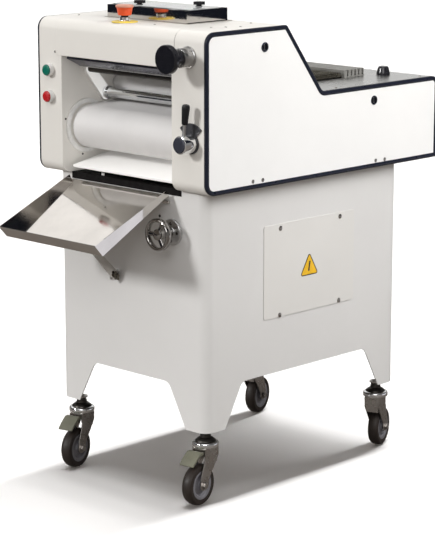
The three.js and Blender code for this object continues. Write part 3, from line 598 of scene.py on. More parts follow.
def make_latches():
    """Quarter-turn latches: dark cup, bright key slot and a thin rim."""
    for name, (y, z) in zip(("front", "rear"), LATCHES):
        ride = {"body": f"latch_{name}", "slot": "stainless"}
        turned(f"latch_cup_{name}", "x", y, z, [
            (0, 274), (10.8, 274), (10.8, 285.8), (8, 285.8), (7.4, 282.8), (0, 282.8)],
            48, BLACK, 0, f"right_latch_{name}", **ride)
        key = block(f"latch_key_{name}", 282.6, 285.8, y - 2, y + 2, z - 6.4, z + 6.4)
        piece(key, CHROME, 0.4, **ride)
        # The rim is stainless darkened for a painted dark reflection.
        turned(f"latch_rim_{name}", "x", y, z, [
            (8, 285.4), (11.4, 285.4), (11.4, 286.2), (10.6, 286.8), (8.8, 286.8), (8, 286.2)],
            48, DARK_REFLECTION_STAINLESS, 0, **ride)


def make_deck():
    width = HOUSING_OUTER - 0.3
    sheet = keep_deck(head_skin("deck_sheet", 0, SHEET, -width, width), 0.3)
    cut(sheet, block("opening", -195, 146, 425, 716, 940, 1000))
    piece(sheet, DECK_STEEL, 0.6, "rear_deck", slot="stainless")
    for i, (x, y) in enumerate(((-262, 470), (-262, 790), (262, 470), (262, 790))):
        screw(f"deck_screw_{i}", "z", x, y, DECK_TOP, 3)


# --- hopper and clamp knobs
KNOB_LIFT, KNOB_TOP = 4.2, 11.6
CLAMP_KNOBS = [("left", -70, 136), ("right", 62, 204)]


def lobed_knob(side, x, y, top):
    """Three-lobed clamp knob on a short neck."""
    neck = lathe(f"clamp_{side}_neck", "z", x, y, [
        (0, 0.2), (8.4, 0.2), (8.4, 1.2), (6.2, 2.2), (6.2, 5), (0, 5)], 40, top)
    head = rod(f"clamp_{side}_head", "z", x, y, 9, top + KNOB_LIFT, top + KNOB_TOP, 48)
    for i in range(3):
        middle = polar(x, y, 8.5, radians(120 * i + 20))
        combine(head, "UNION", rod("lobe", "z", *middle, 6.4, top + KNOB_LIFT, top + KNOB_TOP))
    body = f"knob_{side}"
    piece(head, BLACK, 1.8, f"hopper_knob_{side}", body, segments=4, angle=40)
    piece(neck, BLACK, 0.4, body=body)


def make_hopper():
    low, high = node_box("hopper")
    dress("hopper", STAINLESS, 0.35)
    top = high.z
    plate = block("clear_plate", low.x + 12, high.x - 12, low.y + 18, high.y - 24, top + 0.05, top + 2.2)
    for side, x, y in CLAMP_KNOBS:
        cut(plate, rod("hole", "z", x, y, 9, top - 5, top + 9))
        lobed_knob(side, x, y, top + 2.2)
    piece(plate, CLEAR, 0.5, slot="stainless")
    # Near-black sheet behind the guard and above the rollers: painted shade in the mouth.
    shade_sheet = block("dark_baffle", WALL_LEFT + 0.5, WALL_RIGHT - 0.5, 147, 148.5, 997, 1080)
    piece(shade_sheet, SHADE_BLACK, 0.3, slot="dark_steel")


# --- controls
def make_buttons():
    x = -241
    for word, z, material in (("start", 1000, GREEN), ("stop", 936, RED)):
        turned(f"{word}_bezel", "y", x, z, [
            (8.4, -0.3), (15, -0.3), (15, -10.5), (14.6, -12.4), (14, -13), (13.4, -12.4), (13.4, -3.5),
            (8.4, -3.5)], 72, WHITE_PLASTIC, 0.3, f"{word}_collar", slot="cover_paint")
        turned(f"{word}_cap", "y", x, z, [
            (0, 12), (8, 12), (8, -8), (13.1, -8), (13.1, -14.4), (12.3, -15.8), (10.6, -16.6),
            (0, -17)], 72, material, 0.3, f"{word}_button", f"{word}_push")


def make_emergency_stop():
    x, y, foot = *ESTOP, HEAD_TOP + 0.3
    turned("estop_disc", "z", x, y, [
        (9.6, 0), (31, 0), (31, 1.6), (30.2, 2.2), (13, 2.2), (9.6, 2.2)],
        72, YELLOW, 0.2, "estop_base", base=foot)
    turned("estop_collar", "z", x, y, [
        (9.6, 2.2), (13, 2.2), (13, 4), (12, 5), (12, 11.6), (9.6, 11.6)], 64, CHROME, 0.3, base=foot)
    turned("estop_shaft", "z", x, y, [
        (0, 1108), (9, 1108), (9, 1141), (6, 1141), (6, 1153), (0, 1153)],
        48, BLACK, 0.2, "estop_stem", "estop_plunger")
    turned("estop_mushroom", "z", x, y, [
        (0, 1153.4), (6.4, 1153.4), (6.4, 1141.4), (15, 1141.4), (16, 1142.4), (17.4, 1151), (18.6, 1158),
        (20, 1159.6), (20, 1162), (0, 1162)], 96, ORANGE, 0.2, "estop_button", "estop_cap")
    turned("estop_brim", "z", x, y, [
        (0, 1161.8), (20.2, 1161.8), (20.2, 1160.2), (21.3, 1160.6), (21.5, 1161.6), (21.5, 1163),
        (20.8, 1164.8), (18, 1166), (10, 1166.8), (0, 1167)],
        96, PALE_ORANGE, 0.2, body="estop_cap", slot="orange_plastic")


def make_gap_knob():
    x, z = 231, 1067
    turned("knob_bezel", "y", x, z, [
        (6.8, -0.3), (25, -0.3), (25, -3.8), (24, -5), (22.6, -6), (22.6, -14), (22, -14.6), (22, -15.6),
        (22.6, -16.2), (22.6, -28.4), (21.6, -30.4), (19.6, -31), (6.8, -31)],
        96, CAST_METAL, 0.3, "knob_collar", slot="chrome")
    turned("gap_knob_neck", "y", x, z, [
        (0, 120), (6, 120), (6, -31.4), (17.4, -31.4), (18, -32.4), (16.6, -42), (16.8, -50),
        (19.2, -60.5), (0, -60.5)], 96, BLACK, 0.2, "gap_knob", "gap_spindle")
    turned("gap_knob_disc", "y", x, z, [
        (0, -60.2), (31.4, -60.2), (33, -61.6), (33.5, -63.5), (33.5, -71.5), (32.8, -73.6), (31, -74.8),
        (0, -75)], 96, BLACK, 0.2, body="gap_spindle")


def make_gap_lever():
    x, z = 240, 871
    steps, scale_radius = 24, 47
    arc = [polar(x, z, scale_radius, radians(45 + 90 * i / steps)) for i in range(steps + 1)]
    sector = prism("scale_sector", "y", arc + [(x - 16, z + 16), (x + 16, z + 16)], -4.6, -0.3)
    combine(sector, "UNION", rod("boss", "y", x, z, 24, -4.6, -0.3, 72))
    cut(sector, rod("bore", "y", x, z, 8.6, -9, 5))
    for i in range(9):
        notch = block("notch", x + 38, x + 45, -5.2, -4.2, z - 0.45, z + 0.45)
        cut(sector, turn_about(notch, (x, 0, z), "Y", -50 - 10 * i))
    piece(sector, SCALE_GREY, 0.4, "lever_quadrant", slot="black_plastic")
    turned("lever_hub", "y", x, z, [
        (0, 60), (8, 60), (8, -5.4), (20.8, -5.4), (21.5, -6.4), (21.5, -36), (20.6, -38.4),
        (18.6, -39.4), (0, -39.4)], 96, CHROME, 0.3, "gap_lever", "lever")
    turned("lever_cap", "y", x, z, [
        (0, -39), (18.3, -39), (18.3, -41), (17, -42.8), (10, -43.8), (0, -44)],
        72, CAP_GREY, 0.2, body="lever", slot="black_plastic")
    y, lean = -27, 6
    stick = lathe("lever_rod", "z", x, y, [(0, 14), (4.4, 14), (3.9, 50), (0, 50)], 40, z)
    grip = lathe("lever_handle", "z", x, y, [
        (0, 47), (6, 47), (7.2, 49), (7.6, 56), (9.4, 84), (9.2, 89), (7.6, 92.6), (4, 93.8),
        (0, 94)], 64, z)
    for item, slot, material in ((stick, "chrome", SATIN_CHROME), (grip, "black_plastic", BLACK_GRIP)):
        piece(turn_about(item, (x, y, z), "Y", lean), material, 0.2, body="lever", slot=slot)


def make_handwheel():
    (x, z), y = HANDWHEEL, -18  # y is the middle of the rim
    turned("wheel_flange", "y", x, z, [
        (7.4, -0.1), (31, -0.1), (31, -5.5), (30, -7.2), (28.6, -8), (13, -8), (12, -9.6), (7.4, -9.6)],
        96, SATIN_CHROME, 0.3, "handwheel_flange", base=CABINET_FRONT, slot="chrome")
    for i in range(4):
        spot = polar(x, z, 21, radians(90 * i))
        screw(f"flange_screw_{i}", "y", *spot, CABINET_FRONT - 8, 3.6, -1, DARK_STEEL)
    # Rim, hub and spokes are chrome, darkened for painted dark reflections.
    ride = {"body": "adjuster", "slot": "chrome"}
    turned("wheel_rim", "y", x, z, [
        (29.4, -2), (31, -5.8), (34, -7.6), (36.6, -6.6), (38.4, -3.6), (38.5, 5), (37.2, 8), (34.6, 9),
        (32.6, 7.6), (31, 3)], 96, DARK_REFLECTION_CHROME, 0, "handwheel", base=y, angle=60, **ride)
    turned("wheel_hub", "y", x, z, [
        (0, 95), (6.5, 95), (6.5, 21), (10, 21), (12.4, -6), (14, -14), (14, -19), (13.2, -21.4),
        (11, -23), (0, -24)], 64, DARK_REFLECTION_CHROME, 0.3, **ride)
    outline = rounded_box(y - 3.2, z - 5.5, y + 3.2, z + 5.5, 3)
    for i, angle in enumerate((60, 180, 300)):
        spoke = prism(f"wheel_spoke_{i}", "x", outline, x + 11, x + 33)
        piece(turn_about(spoke, (x, y, z), "Y", -angle), DARK_REFLECTION_CHROME, 0, angle=50, **ride)
    screw("front_bolt", "y", 103, 682, CABINET_FRONT, 3.4, -1, DARK_STEEL)


def make_deck_knob():
    turned("tracking_knob", "z", 172.5, 754, [
        (0, -5), (2.5, -5), (2.5, 0), (16.6, 0), (17.5, 1), (17.3, 3.4), (16.2, 7), (14.2, 15.5),
        (13, 18.6), (10.4, 20.8), (0, 21.5)],
        72, BLACK, 0.2, "deck_knob", "deck_screw", base=DECK_TOP + 0.3)


# --- rollers, belt and mat
def roller(name, centre, radius, half, edge, reach_left, reach_right, journal=12):
    """Roller with rounded ends, and a journal that reaches out of each end."""
    x0, x1 = CHANNEL_MIDDLE - half, CHANNEL_MIDDLE + half
    profile = [(0, x0 - reach_left), (journal, x0 - reach_left), (journal, x0), (radius - edge, x0)]
    quarter = [pi / 2 * k / 6 for k in range(7)]
    shoulder = [(radius - edge + edge * sin(a), edge * (1 - cos(a))) for a in quarter]
    profile += [(r, x0 + depth) for r, depth in shoulder[1:]]
    profile += [(r, x1 - depth) for r, depth in reversed(shoulder)]
    profile += [(journal, x1), (journal, x1 + reach_right), (0, x1 + reach_right)]
    return lathe(name, "x", *centre, profile, 96)


def make_rollers():
    for word, centre, reach in (("front", FRONT_ROLLER, (45, 60)), ("rear", REAR_ROLLER, (9, 9))):
        cylinder = roller(f"sheeting_roller_{word}", centre, ROLLER_RADIUS, 163, 2, *reach)
        piece(cylinder, ROLLER, 0.2, f"{word}_roller", f"{word}_sheeting_roller")
    dress("roller_carriage", ZINC, 0.8)
    ride = {"body": "guide_bar", "slot": "chrome"}
    x0, x1 = node_box("guide_roller")[0].x + 7, node_box("guide_roller")[1].x - 7
    turned("guide_bar", "x", *GUIDE, [
        (0, x0 - 7), (5, x0 - 7), (5, x0), (12, x0), (12, x1), (5, x1), (5, x1 + 7), (0, x1 + 7)],
        64, CHROME, 0.3, "guide_roller", **ride)
    for word, a, b in (("left", x0, x0 + 9), ("right", x1 - 9, x1)):
        turned(f"guide_collar_{word}", "x", *GUIDE, [
            (12, a), (15.4, a), (16, a + 0.8), (16, b - 0.8), (15.4, b), (12, b)], 64, CHROME, 0.2, **ride)


def make_swing_frame():
    ride = {"body": "swing_arms", "slot": "housing_paint"}
    pivot = (83, 1000)
    shaft = rod("arm_pivot", "x", *pivot, 8, WALL_LEFT + 0.3, WALL_RIGHT - 0.3)
    piece(shaft, DARK_STEEL, 0.4, "swing_frame", **ride)
    outline = belt_outline(pivot, 14, (GUIDE[0] - 1, GUIDE[1] - 3), 16, 20)
    for word, a, b in (("left", WALL_LEFT + 0.8, WALL_LEFT + 12),
                       ("right", WALL_RIGHT - 12, WALL_RIGHT - 0.8)):
        arm = prism(f"swing_arm_{word}", "x", outline, a, b)
        cut(arm, rod("journal", "x", *GUIDE, 5.6, a - 1, b + 1))
        # The arms are housing paint, made whiter with painted light.
        piece(arm, WHITE_WITH_PAINTED_LIGHT, 1.6, segments=4, **ride)


def make_conveyor():
    half = (WALL_RIGHT - WALL_LEFT) / 2 - 3
    cylinder = roller("conveyor_drum", DRUM, DRUM_RADIUS, half, 9, 30, 40)
    piece(cylinder, WHITE_PLASTIC, 0.2, "belt_drum", "drum", "belt_white")
    piece(rod("drum_sprocket", "x", *DRUM, 28, 204, 208, 40), ZINC, 0.4, body="drum")
    cylinder = roller("tail_roller", PULLEY, PULLEY_RADIUS, half, 4, 20, 20)
    piece(cylinder, ZINC, 0.2, "rear_pulley", "tail_pulley")
    turned("drum_bearing_ring", "x", *DRUM, [
        (55, 0), (66, 0), (66, 3.6), (64.6, 5), (55, 5)],
        96, WHITE_PLASTIC, 0.4, base=WALL_LEFT + 0.1, slot="cover_paint")
    for i, (y, z) in enumerate(((11, 883), (65, 792))):
        screw(f"wall_screw_{i}", "x", y, z, WALL_LEFT, 2.6, 1, DARK_STEEL)
    x0, x1 = node_box("conveyor_belt")[0].x, node_box("conveyor_belt")[1].x

    def loop(name, gap, *ends):
        return prism(name, "x", belt_outline(DRUM, DRUM_RADIUS + gap, PULLEY, PULLEY_RADIUS + gap), *ends)

    belt = cut(loop("belt", 2.6, x0, x1), loop("inside", 0.6, x0 - 1, x1 + 1))
    piece(belt, BELT, 0.5, "conveyor_belt")


def make_board():
    run = [(20, 772), (104, 787.8), (112, 788.8), (640, 832)]
    under = [(y + 1, z - 6) for y, z in reversed(run)]
    board = prism("moulding_board", "x", under + run, WALL_LEFT + 14, WALL_RIGHT - 1)
    # The board is cover paint, made whiter with painted light.
    piece(board, WHITE_WITH_PAINTED_LIGHT, 1.2, "pressure_board", "board", "cover_paint", segments=4)


def make_mat():
    """Net of flattened coils that hook into each other, lying on the belt, with its ribbed bar."""
    low, high = node_box("chain_mat")
    rows, turns, steps = 31, 44, 7
    margin, coil_y, coil_z = 7, 4.3, 5.6
    pitch_y = (high.y - low.y - 2 * margin) / (rows - 1)
    curve = bpy.data.curves.new("steel_net", "CURVE")
    curve.dimensions = "3D"
    curve.bevel_depth = 0.8 * MM
    curve.bevel_resolution = 0
    curve.use_fill_caps = True
    middle_z = high.z - 7.4

    def wire(points):
        spline = curve.splines.new("POLY")
        spline.points.add(len(points) - 1)
        for end, point in zip(spline.points, points):
            end.co = (*place(*point), 1)

    for row in range(rows):
        y = low.y + margin + pitch_y * row
        squeeze = 1 if row % 2 else 0.94
        points = []
        for k in range(turns * steps + 1):
            angle = tau * k / steps
            x = low.x + 2 + (high.x - low.x - 4) * k / (turns * steps)
            points.append((x, y + coil_y * cos(angle), middle_z + coil_z * sin(angle) * squeeze))
        wire(points)
    for row in range(rows - 1):
        y = low.y + margin + pitch_y * (row + 0.5)
        wire([(x, y, middle_z) for x in (low.x + 1.5, high.x - 1.5)])
    curve.materials.append(NET_WIRE)
    net = add_object("steel_net", curve)
    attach(net, "machine")
    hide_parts("chain_mat")
    # Near-black sheet under the net: painted shade between its coils.
    shade_bed = block("net_underlay", low.x + 4, high.x - 4, low.y + 2, high.y - 3, low.z, high.z - 12)
    piece(shade_bed, SHADE_BLACK, 1, slot="chain_steel")
    dress("mat_bar", BAR_GREY, 0.8)
    low, high = node_box("mat_bar")
    # Dark strips laid along the bar's grooves: painted shade between its ribs.
    groove, pitch, width = low.y + 11, 14, 5
    while groove < high.y - width:
        strip = block("mat_bar_groove", low.x + 0.3, high.x - 0.3,
                      groove + 0.05, groove + width - 0.05, 960.1, 964)
        piece(strip, DARK_STEEL, 0)
        groove += pitch


def make_guard():
    x0, x1 = WALL_LEFT + 0.4, WALL_RIGHT - 0.4
    blade = rounded([(16, 1029, 1.5), (58, 1008.5, 1.5), (60, 1013, 1.5), (20, 1034, 2)], 0, 5)
    blade = prism("front_guard_blade", "x", blade, x0, x1)
    # The blade is stainless darkened for a painted dark reflection.
    piece(blade, DARK_REFLECTION_STAINLESS, 0.2, "front_guard", slot="stainless")
    lip = rod("front_guard_lip", "x", 58.5, 1009.5, 2.6, x0, x1, 24)
    piece(lip, SATIN_CHROME, 0.2, slot="stainless")


# --- cabinet and what is on it
def cabinet_plan(inset):
    x = CABINET_HIGH.x
    return rounded_box(-x, CABINET_FRONT, x, CABINET_HIGH.y, 28, inset, 14)


def arch(start, end):
    bottom = CABINET_LOW.z
    return rounded([
        (start + LEG_FOOT, bottom - 10, 0), (end - LEG_FOOT, bottom - 10, 0),
        (end - LEG_FOOT, bottom, 6), (end - LEG_TOP, ARCH_TOP, 24),
        (start + LEG_TOP, ARCH_TOP, 24), (start + LEG_FOOT, bottom, 6)], 0, 12)


def make_cabinet():
    low, high = CABINET_LOW.z, CABINET_HIGH.z
    shell = prism("cabinet_body", "z", cabinet_plan(0), low, high)
    cut(shell, prism("hollow", "z", cabinet_plan(3), low - 1, high - 3),
        prism("front_arch", "y", arch(-CABINET_HIGH.x, CABINET_HIGH.x), -50, 900),
        prism("side_arch", "x", arch(CABINET_FRONT, CABINET_HIGH.y), *WIDE),
        rod("spindle_hole", "y", *HANDWHEEL, 8, 20, 40), chain_slot(740))
    # Cabinet paint, darker than the cover's, with painted shade.
    piece(shell, CABINET_PAINT_WITH_SHADE, 0.9, "cabinet")
    face = CABINET_FRONT - 0.1
    # Near-black strip on the cabinet's front and top under the head's overhang: painted shade.
    shade_strip = prism("dark_apron", "x", [
        (face - 1.5, 737), (face, 737), (face, high + 0.1), (260, high + 0.1), (260, high + 1.4),
        (face - 1.5, high + 1.4)], WALL_LEFT, WALL_RIGHT)
    piece(cut(shade_strip, chain_slot(740)), SHADE_BLACK, 0.3, slot="black_plastic")
    label = block("apron_label", -107, -97, 40, 41, high + 1.4, high + 8)
    piece(label, WHITE_PLASTIC, 0.1, slot="cover_paint")
    for i, x in enumerate((-185, 118)):
        outline = [(24, 716), (31, 716), (31, 723), (26, 723), (24, 721)]
        piece(prism(f"tray_lug_{i}", "x", outline, x, x + 20), STAINLESS, 0.5, slot="cabinet_paint")
    outline = rounded([(6, 508, 9), (31, 508, 0), (31, 532, 0), (6, 532, 9)])
    lug = cut(prism("strut_lug", "x", outline, -45.5, -41.5), rod("bore", "x", 18, 520, 4.6, -60, -20))
    piece(lug, SATIN_CHROME, 0.4, slot="cabinet_paint")


def make_panel():
    outline = rounded_box(PANEL_LOW.y, PANEL_LOW.z, PANEL_HIGH.y, PANEL_HIGH.z, 6)
    face = PANEL_HIGH.x
    panel = prism("service_panel", "x", outline, CABINET_HIGH.x + 0.1, face)
    # Panel paint, darker than the cover paint it stands for, with painted shade.
    piece(panel, PANEL_PAINT_WITH_SHADE, 0.5, "inspection_panel", slot="cover_paint")
    for i, (y, z) in enumerate(((284, 638), (499, 638), (283, 426), (498, 427))):
        screw(f"panel_screw_{i}", "x", y, z, face, 5.8, 1, rise=0.45)


def make_sign():
    """Plain yellow triangle with a dark rim and one slanted bar, which stands for nothing."""
    face = PANEL_HIGH.x
    triangle = [(355, 508, 5), (421, 508, 5), (388, 565, 5)]
    bar = [(383, 519), (388, 519), (392, 543), (387, 543)]
    for name, outline, low, high, material, slot in (
        ("rim", rounded(triangle), 0, 0.4, SIGN_DARK, "black_plastic"),
        ("field", rounded(triangle, 2.6), 0.4, 0.7, SIGN_YELLOW, "yellow_plastic"),
        ("mark", bar, 0.7, 1.0, SIGN_DARK, "black_plastic"),
    ):
        piece(prism(f"sign_{name}", "x", outline, face + low, face + high), material, 0, slot=slot)


def make_tray():
    dress("discharge_tray", STAINLESS, 0.3)
    dress("tray_strut", STAINLESS)
    x, y, z = -40.5, 18, 520
    shaft = rod("strut_pin", "x", y, z, 4, x - 9, x + 13, 32)
    head = rod("strut_pin_head", "x", y, z, 7, x - 11, x - 5.4, 6)
    nut = lathe("wing_nut", "x", y, z, [(4, 3.4), (7, 3.4), (6, 9.6), (4, 9.6)], 40, x)
    outline = rounded([(y - 3, z + 4, 0), (y + 3, z + 4, 0), (y + 3.4, z + 12, 3), (y - 3.4, z + 12, 3)])
    wings = [turn_about(prism("wing", "x", outline, x + 5.6, x + 8.6), (x, y, z), "X", angle)
             for angle in (25, 205)]
    for item, node in ((shaft, "strut_bolt"), (head, None), (nut, None), (join("wing_pair", wings), None)):
        piece(item, CHAIN, 0.4, node, "wing_bolt", "zinc_steel")


# --- drive
def make_drive():
    dress("drive_motor", powder_coat("motor_paint", (0.12, 0.14, 0.16), 0.45), 1.5)
    fins = [turn_about(block("fin", 83.5, 86.5, 400, 560, 700, 706), (85, 0, 640), "Y", 36 * i)
            for i in range(10)]
    piece(join("motor_fins", fins), DARK_STEEL, 0.5, slot="zinc_steel")
    dress("drive_chain", CHAIN)


# --- casters
CASTERS = {
    "front_left": (-218, 66, 14, True), "front_right": (218, 66, 8, True),
    "rear_left": (-218, 689, 195, False), "rear_right": (218, 689, 200, False),
}


def bent_cheek(x0, x1):
    """Pressed side plate of a fork, wide at the crown and round at the axle."""
    outline = rounded([
        (-27, 139, 0), (-27, 112, 10), (-43, 66, 20), (-45, 44, 12), (-30, 35, 14), (-15, 44, 12),
        (-12, 62, 20), (26, 112, 14), (27, 139, 0)], 0, 6)
    return prism("cheek", "x", outline, x0, x1)


def make_caster(word, spot):
    x, y, angle, braked = spot
    swivel, wheel, brake = f"swivel_{word}", f"wheel_{word}", f"brake_{word}"
    there = (Matrix.Translation(place(x, y, 0)) @ Matrix.Rotation(radians(angle), 4, "Z")
             @ Matrix.Translation(-place(0, 0, 0)))

    def put(item, *finish, **edges):
        item.data.transform(there)
        piece(item, *finish, **edges)

    cap = lathe(f"dust_cap_{word}", "z", 0, 0, [
        (0, 151.4), (25, 151.4), (24, 154), (17, 159.6), (13, 161), (13, 166), (0, 166)])
    put(cap, DARK_STEEL, 0.3, f"caster_stem_{word}")
    put(rod(f"stem_nut_{word}", "z", 0, 0, 12.6, 165, 174, 6), DARK_STEEL, 0.8)
    put(rod(f"stem_washer_{word}", "z", 0, 0, 15, 174, 177.6), ZINC, 0.5, slot="dark_steel")
    put(lathe(f"fork_crown_{word}", "z", 0, 0, [
        (0, 137.5), (27, 137.5), (30.4, 138.6), (31.5, 140.6), (31.5, 147), (30.4, 149.4), (27.6, 151),
        (0, 151)], 72), CHROME, 0, f"caster_fork_{word}", swivel, "zinc_steel")
    cheeks = [bent_cheek(-19.6, -16.8), bent_cheek(16.8, 19.6)]
    bridge = rounded([(-27, 131, 4), (27, 131, 4), (27, 139, 0), (-27, 139, 0)])
    web = rounded([(20, 98, 1), (23, 98, 1), (26.5, 133, 1), (23.5, 133, 1)])
    for item in (prism(f"fork_bridge_{word}", "x", bridge, -18, 18),
                 prism(f"fork_web_{word}", "x", web, -17, 17), join(f"fork_cheeks_{word}", cheeks)):
        put(item, ZINC, 0.9, body=swivel)
    put(rod(f"axle_{word}", "x", *WHEEL, 5, -23, 23, 32), ZINC, 0.4, body=swivel)
    nuts = [rod("nut", "x", *WHEEL, 8.6, *ends, 6) for ends in ((-25.4, -19.8), (19.8, 25.4))]
    put(join(f"axle_nuts_{word}", nuts), ZINC, 0.7, body=swivel)
    bulge = [(44 + 6 * sin(a), 13.6 * -cos(a)) for a in (pi * k / 14 for k in range(1, 14))]
    tread = [(35, -12.6), (44, -13.6), *bulge, (44, 13.6), (35, 12.6)]
    tyre = lathe(f"tyre_{word}", "x", *WHEEL, tread, 96)
    put(tyre, TYRE, 0, f"caster_wheel_{word}", wheel, angle=50)
    half = [(5.4, -13), (12, -13), (13, -8), (24, -6), (28, -11.6), (34, -13), (35.4, -12.6)]
    half += [(radius, -along) for radius, along in reversed(half)]
    put(lathe(f"wheel_disc_{word}", "x", *WHEEL, half, 72), HUB, 0.4, body=wheel, slot="tyre_rubber")
    if braked:
        lever = rounded([
            (-34, 126, 1), (-34, 133, 2), (-46, 133, 5), (-64, 120, 3), (-76.5, 107.5, 1.5),
            (-74.5, 104, 1), (-62, 114, 3), (-46, 125, 5)], 0, 5)
        pedal = prism(f"brake_lever_{word}", "x", lever, -20, 20)
        put(pedal, PEDAL, 1.2, f"brake_pedal_{word}", brake, segments=4)
        pad = rounded([(-40, 116, 2), (-56, 112, 3), (-58, 100, 3), (-40, 104, 2)])
        shoe = prism(f"brake_shoe_{word}", "x", pad, -9, 9)
        put(shoe, BLACK, 0.6, body=brake, slot="pedal_plastic")


# --- stage, light and camera
def plane(name, corners, material):
    edit = bmesh.new()
    edit.faces.new([edit.verts.new(corner) for corner in corners])
    flat = to_object(name, edit)
    flat.data.materials.append(material)
    return flat


def upright(name, foot, low, high, material):
    """Upright sheet over a line on the floor that is given by its two ends."""
    (ax, ay), (bx, by) = foot
    return plane(name, [(ax, ay, low), (bx, by, low), (bx, by, high), (ax, ay, high)], material)


def compass(azimuth, elevation=0):
    """Unit vector away from the machine, from degrees; azimuth 0 is straight in front of it."""
    a, e = radians(azimuth), radians(elevation)
    return Vector((sin(a) * cos(e), -cos(a) * cos(e), sin(e)))


def glowing(name, colour, strength=1.0):
    material = bpy.data.materials.new(name)
    material.use_nodes = True
    nodes = material.node_tree.nodes
    nodes.remove(nodes["Principled BSDF"])
    lamp = nodes.new("ShaderNodeEmission")
    lamp.inputs["Color"].default_value = (*colour, 1)
    lamp.inputs["Strength"].default_value = strength
    surface = nodes["Material Output"].inputs["Surface"]
    material.node_tree.links.new(lamp.outputs["Emission"], surface)
    return material


def seen_by(item, camera=False, glossy=False):
    """Limits a stage piece to its use: the background, or what bright metal mirrors."""
    item.visible_camera = camera
    item.visible_glossy = glossy
    item.visible_diffuse = False
    item.visible_transmission = camera
    item.visible_shadow = False


def paper(name, low, high):
    s = Surface(name, 0.7)
    s.mottle(2, 2, (0.3, low), (0.7, high))
    return s.material


def square(size, z):
    return [(x * size, y * size, z) for x, y in ((-1, -1), (1, -1), (1, 1), (-1, 1))]


def make_floor():
    """Pale floor for the eye, a darker one below it for bounce light and mirrors, and a backdrop."""
    white = paper("floor_white", (0.90, 0.895, 0.89), (0.93, 0.925, 0.92))
    brown = paper("floor_brown", (0.24, 0.21, 0.185), (0.27, 0.24, 0.215))
    floor = plane("floor", square(40, 0), white)
    seen_by(floor, camera=True)
    below = plane("bounce_floor", square(20, -0.002), brown)
    seen_by(below, glossy=True)
    below.visible_diffuse = True
    glow = glowing("backdrop_white", (1, 1, 1))
    walls, radius, height = 12, 38, 40
    foot = circle(0, 0, radius, walls)
    for i in range(walls):
        line = (foot[i], foot[(i + 1) % walls])
        seen_by(upright(f"backdrop_{i}", line, 0, height, glow), camera=True)
    return floor, below


def mirror_card(name, azimuth, distance, width, low, high, material):
    """Upright card at an azimuth round the machine that only bright metal sees."""
    middle, side = compass(azimuth) * distance, compass(azimuth + 90) * width / 2
    foot = [(middle - side).xy, (middle + side).xy]
    seen_by(upright(f"card_{name}", foot, low, high, material), glossy=True)


def make_cards():
    dark = glowing("card_dark", (0.012, 0.014, 0.022))
    bright = glowing("card_bright", (1, 0.985, 0.97), 1.3)
    pale = glowing("card_pale", (0.80, 0.80, 0.79))
    lilac = glowing("card_lilac", (0.93, 0.93, 1.0), 1.1)
    mirror_card("front_left", -46, 2.9, 2.6, 0.0, 1.2, dark)
    mirror_card("left_low", -100, 3.0, 1.2, 0.0, 0.9, dark)
    mirror_card("right_high", 104, 3.0, 2.4, 2.1, 4.4, dark)
    mirror_card("left_high", -106, 3.0, 3.0, 1.9, 4.6, bright)
    mirror_card("back_left", 224, 4.0, 4.0, 0.9, 3.2, pale)
    mirror_card("back_right", 136, 2.2, 1.6, 0.0, 0.55, lilac)
    mirror_card("back_right_high", 136, 2.2, 1.6, 0.55, 1.5, dark)


def aimed(name, data, spot, direction):
    """Lamp or camera at a spot that looks along a direction."""
    item = add_object(name, data)
    item.location = spot
    item.rotation_mode = "QUATERNION"
    item.rotation_quaternion = direction.to_track_quat("-Z", "Y")
    return item


def sun(name, azimuth, elevation, softness, amount, colour=(1, 1, 1)):
    """Even light from far away; amount is what it adds to a white surface that faces it."""
    data = bpy.data.lights.new(name, "SUN")
    data.energy = amount * pi
    data.angle = radians(softness)
    data.color = colour
    return aimed(name, data, (0, 0, 0), -compass(azimuth, elevation))


def lamp_panel(name, spot, aim, size, amount):
    """Round studio lamp that points at aim; amount is what it adds to a white surface there."""
    throw = Vector(aim) - Vector(spot)
    data = bpy.data.lights.new(name, "AREA")
    data.shape = "DISK"
    data.size = size
    data.energy = amount * pi ** 2 * throw.length_squared
    lamp = aimed(name, data, spot, throw)
    lamp.visible_camera = False
    lamp.visible_glossy = False
    return lamp


def group_of(name, items, state="INCLUDE"):
    """Collection for light linking."""
    group = bpy.data.collections.new(name)
    for i, item in enumerate(items):
        group.objects.link(item)
        group.collection_objects[i].light_linking.link_state = state
    return group


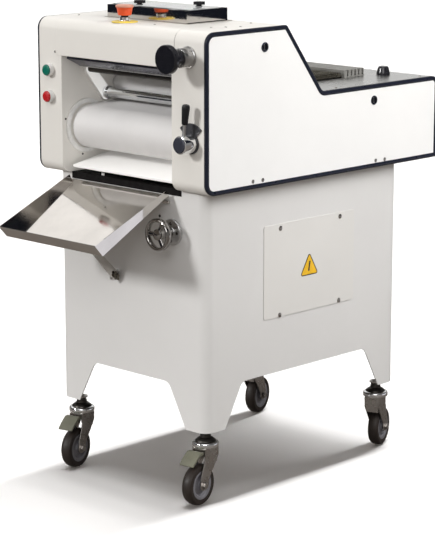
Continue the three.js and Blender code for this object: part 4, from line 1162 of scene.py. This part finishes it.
def make_light(floor, below):
    world = bpy.data.worlds.new("studio")
    bpy.context.scene.world = world
    world.use_nodes = True
    background = world.node_tree.nodes["Background"]
    background.inputs["Color"].default_value = (1, 0.975, 0.95, 1)
    background.inputs["Strength"].default_value = 0.25
    not_floor = group_of("all_but_the_floor", [floor], "EXCLUDE")
    for rays in (("key", -22, 24, 10, 0.59), ("fill", 40, 30, 30, 0.22), ("top", 30, 76, 45, 0.22)):
        sun(*rays).light_linking.receiver_collection = not_floor
    side = lamp_panel("side", (1.97, 0.64, 2.24), (0, 0, 0.60), 1.8, 0.84)
    no_floors = group_of("all_but_both_floors", [floor, below], "EXCLUDE")
    side.light_linking.receiver_collection = no_floors
    for name, spot, aim, amount, starts in (
        ("wall_fill", (40, 40, 690), (-213, 20, 880), 0.36, ("housing_left", "drum_bearing")),
        ("arm_fill", (350, 60, 1100), (-200, 110, 960), 0.55, ("swing_arm_left",)),
        ("board_fill", (350, 100, 1150), (0, 100, 790), 0.27, ("moulding_board",)),
    ):
        lamp = lamp_panel(name, place(*spot), place(*aim), 0.2, amount)
        lamp.data.use_shadow = False
        lit = [item for item in bpy.data.objects if item.name.startswith(starts)]
        lamp.light_linking.receiver_collection = group_of(f"{name}_receivers", lit)
    # A row of lamps over the machine from front to back: a shadow with soft ends and firm sides.
    only_floor = group_of("the_floor", [floor])
    starts = ("cabinet_body", "tyre_", "wheel_disc_", "fork_", "brake_")
    shading = [item for item in bpy.data.objects if item.name.startswith(starts)]
    shadow_casters = group_of("shadow_casters", shading)
    for i, tilt in enumerate(range(-14, 57, 7)):
        amount = 0.2 if abs(tilt - 7) < 10 else 0.08
        lamp = sun(f"overhead_{i}", 0 if tilt < 0 else 180, 90 - abs(tilt), 6, amount)
        lamp.light_linking.receiver_collection = only_floor
        lamp.light_linking.blocker_collection = shadow_casters
    floor_fill = sun("floor_fill", 0, 80, 10, 0.07, (1, 0.86, 0.76))
    floor_fill.data.use_shadow = False
    floor_fill.light_linking.receiver_collection = only_floor
    view = bpy.context.scene.view_settings
    view.view_transform = "Standard"
    view.look = "None"


def make_camera():
    """Long lens from the operator's front right, a little above the machine."""
    away = compass(44.296, 12.282)
    data = bpy.data.cameras.new("camera")
    data.sensor_width = 36
    data.lens = 138.9
    data.clip_end = 200
    aim, distance = Vector((0.0208, -0.0026, 0.4845)), 5.267
    bpy.context.scene.camera = aimed("camera", data, aim + away * distance, -away)


make_hood()
for side, word in ((-1, "left"), (1, "right")):
    make_housing(side, word)
    make_trim(side, word)
    make_cover(side, word)
make_latches()
make_deck()
make_hopper()
make_buttons()
make_emergency_stop()
make_gap_knob()
make_gap_lever()
make_handwheel()
make_deck_knob()
make_rollers()
make_swing_frame()
make_conveyor()
make_board()
make_mat()
make_guard()
make_cabinet()
make_panel()
make_sign()
make_tray()
make_drive()
for word, spot in CASTERS.items():
    make_caster(word, spot)
make_cards()
make_light(*make_floor())
make_camera()
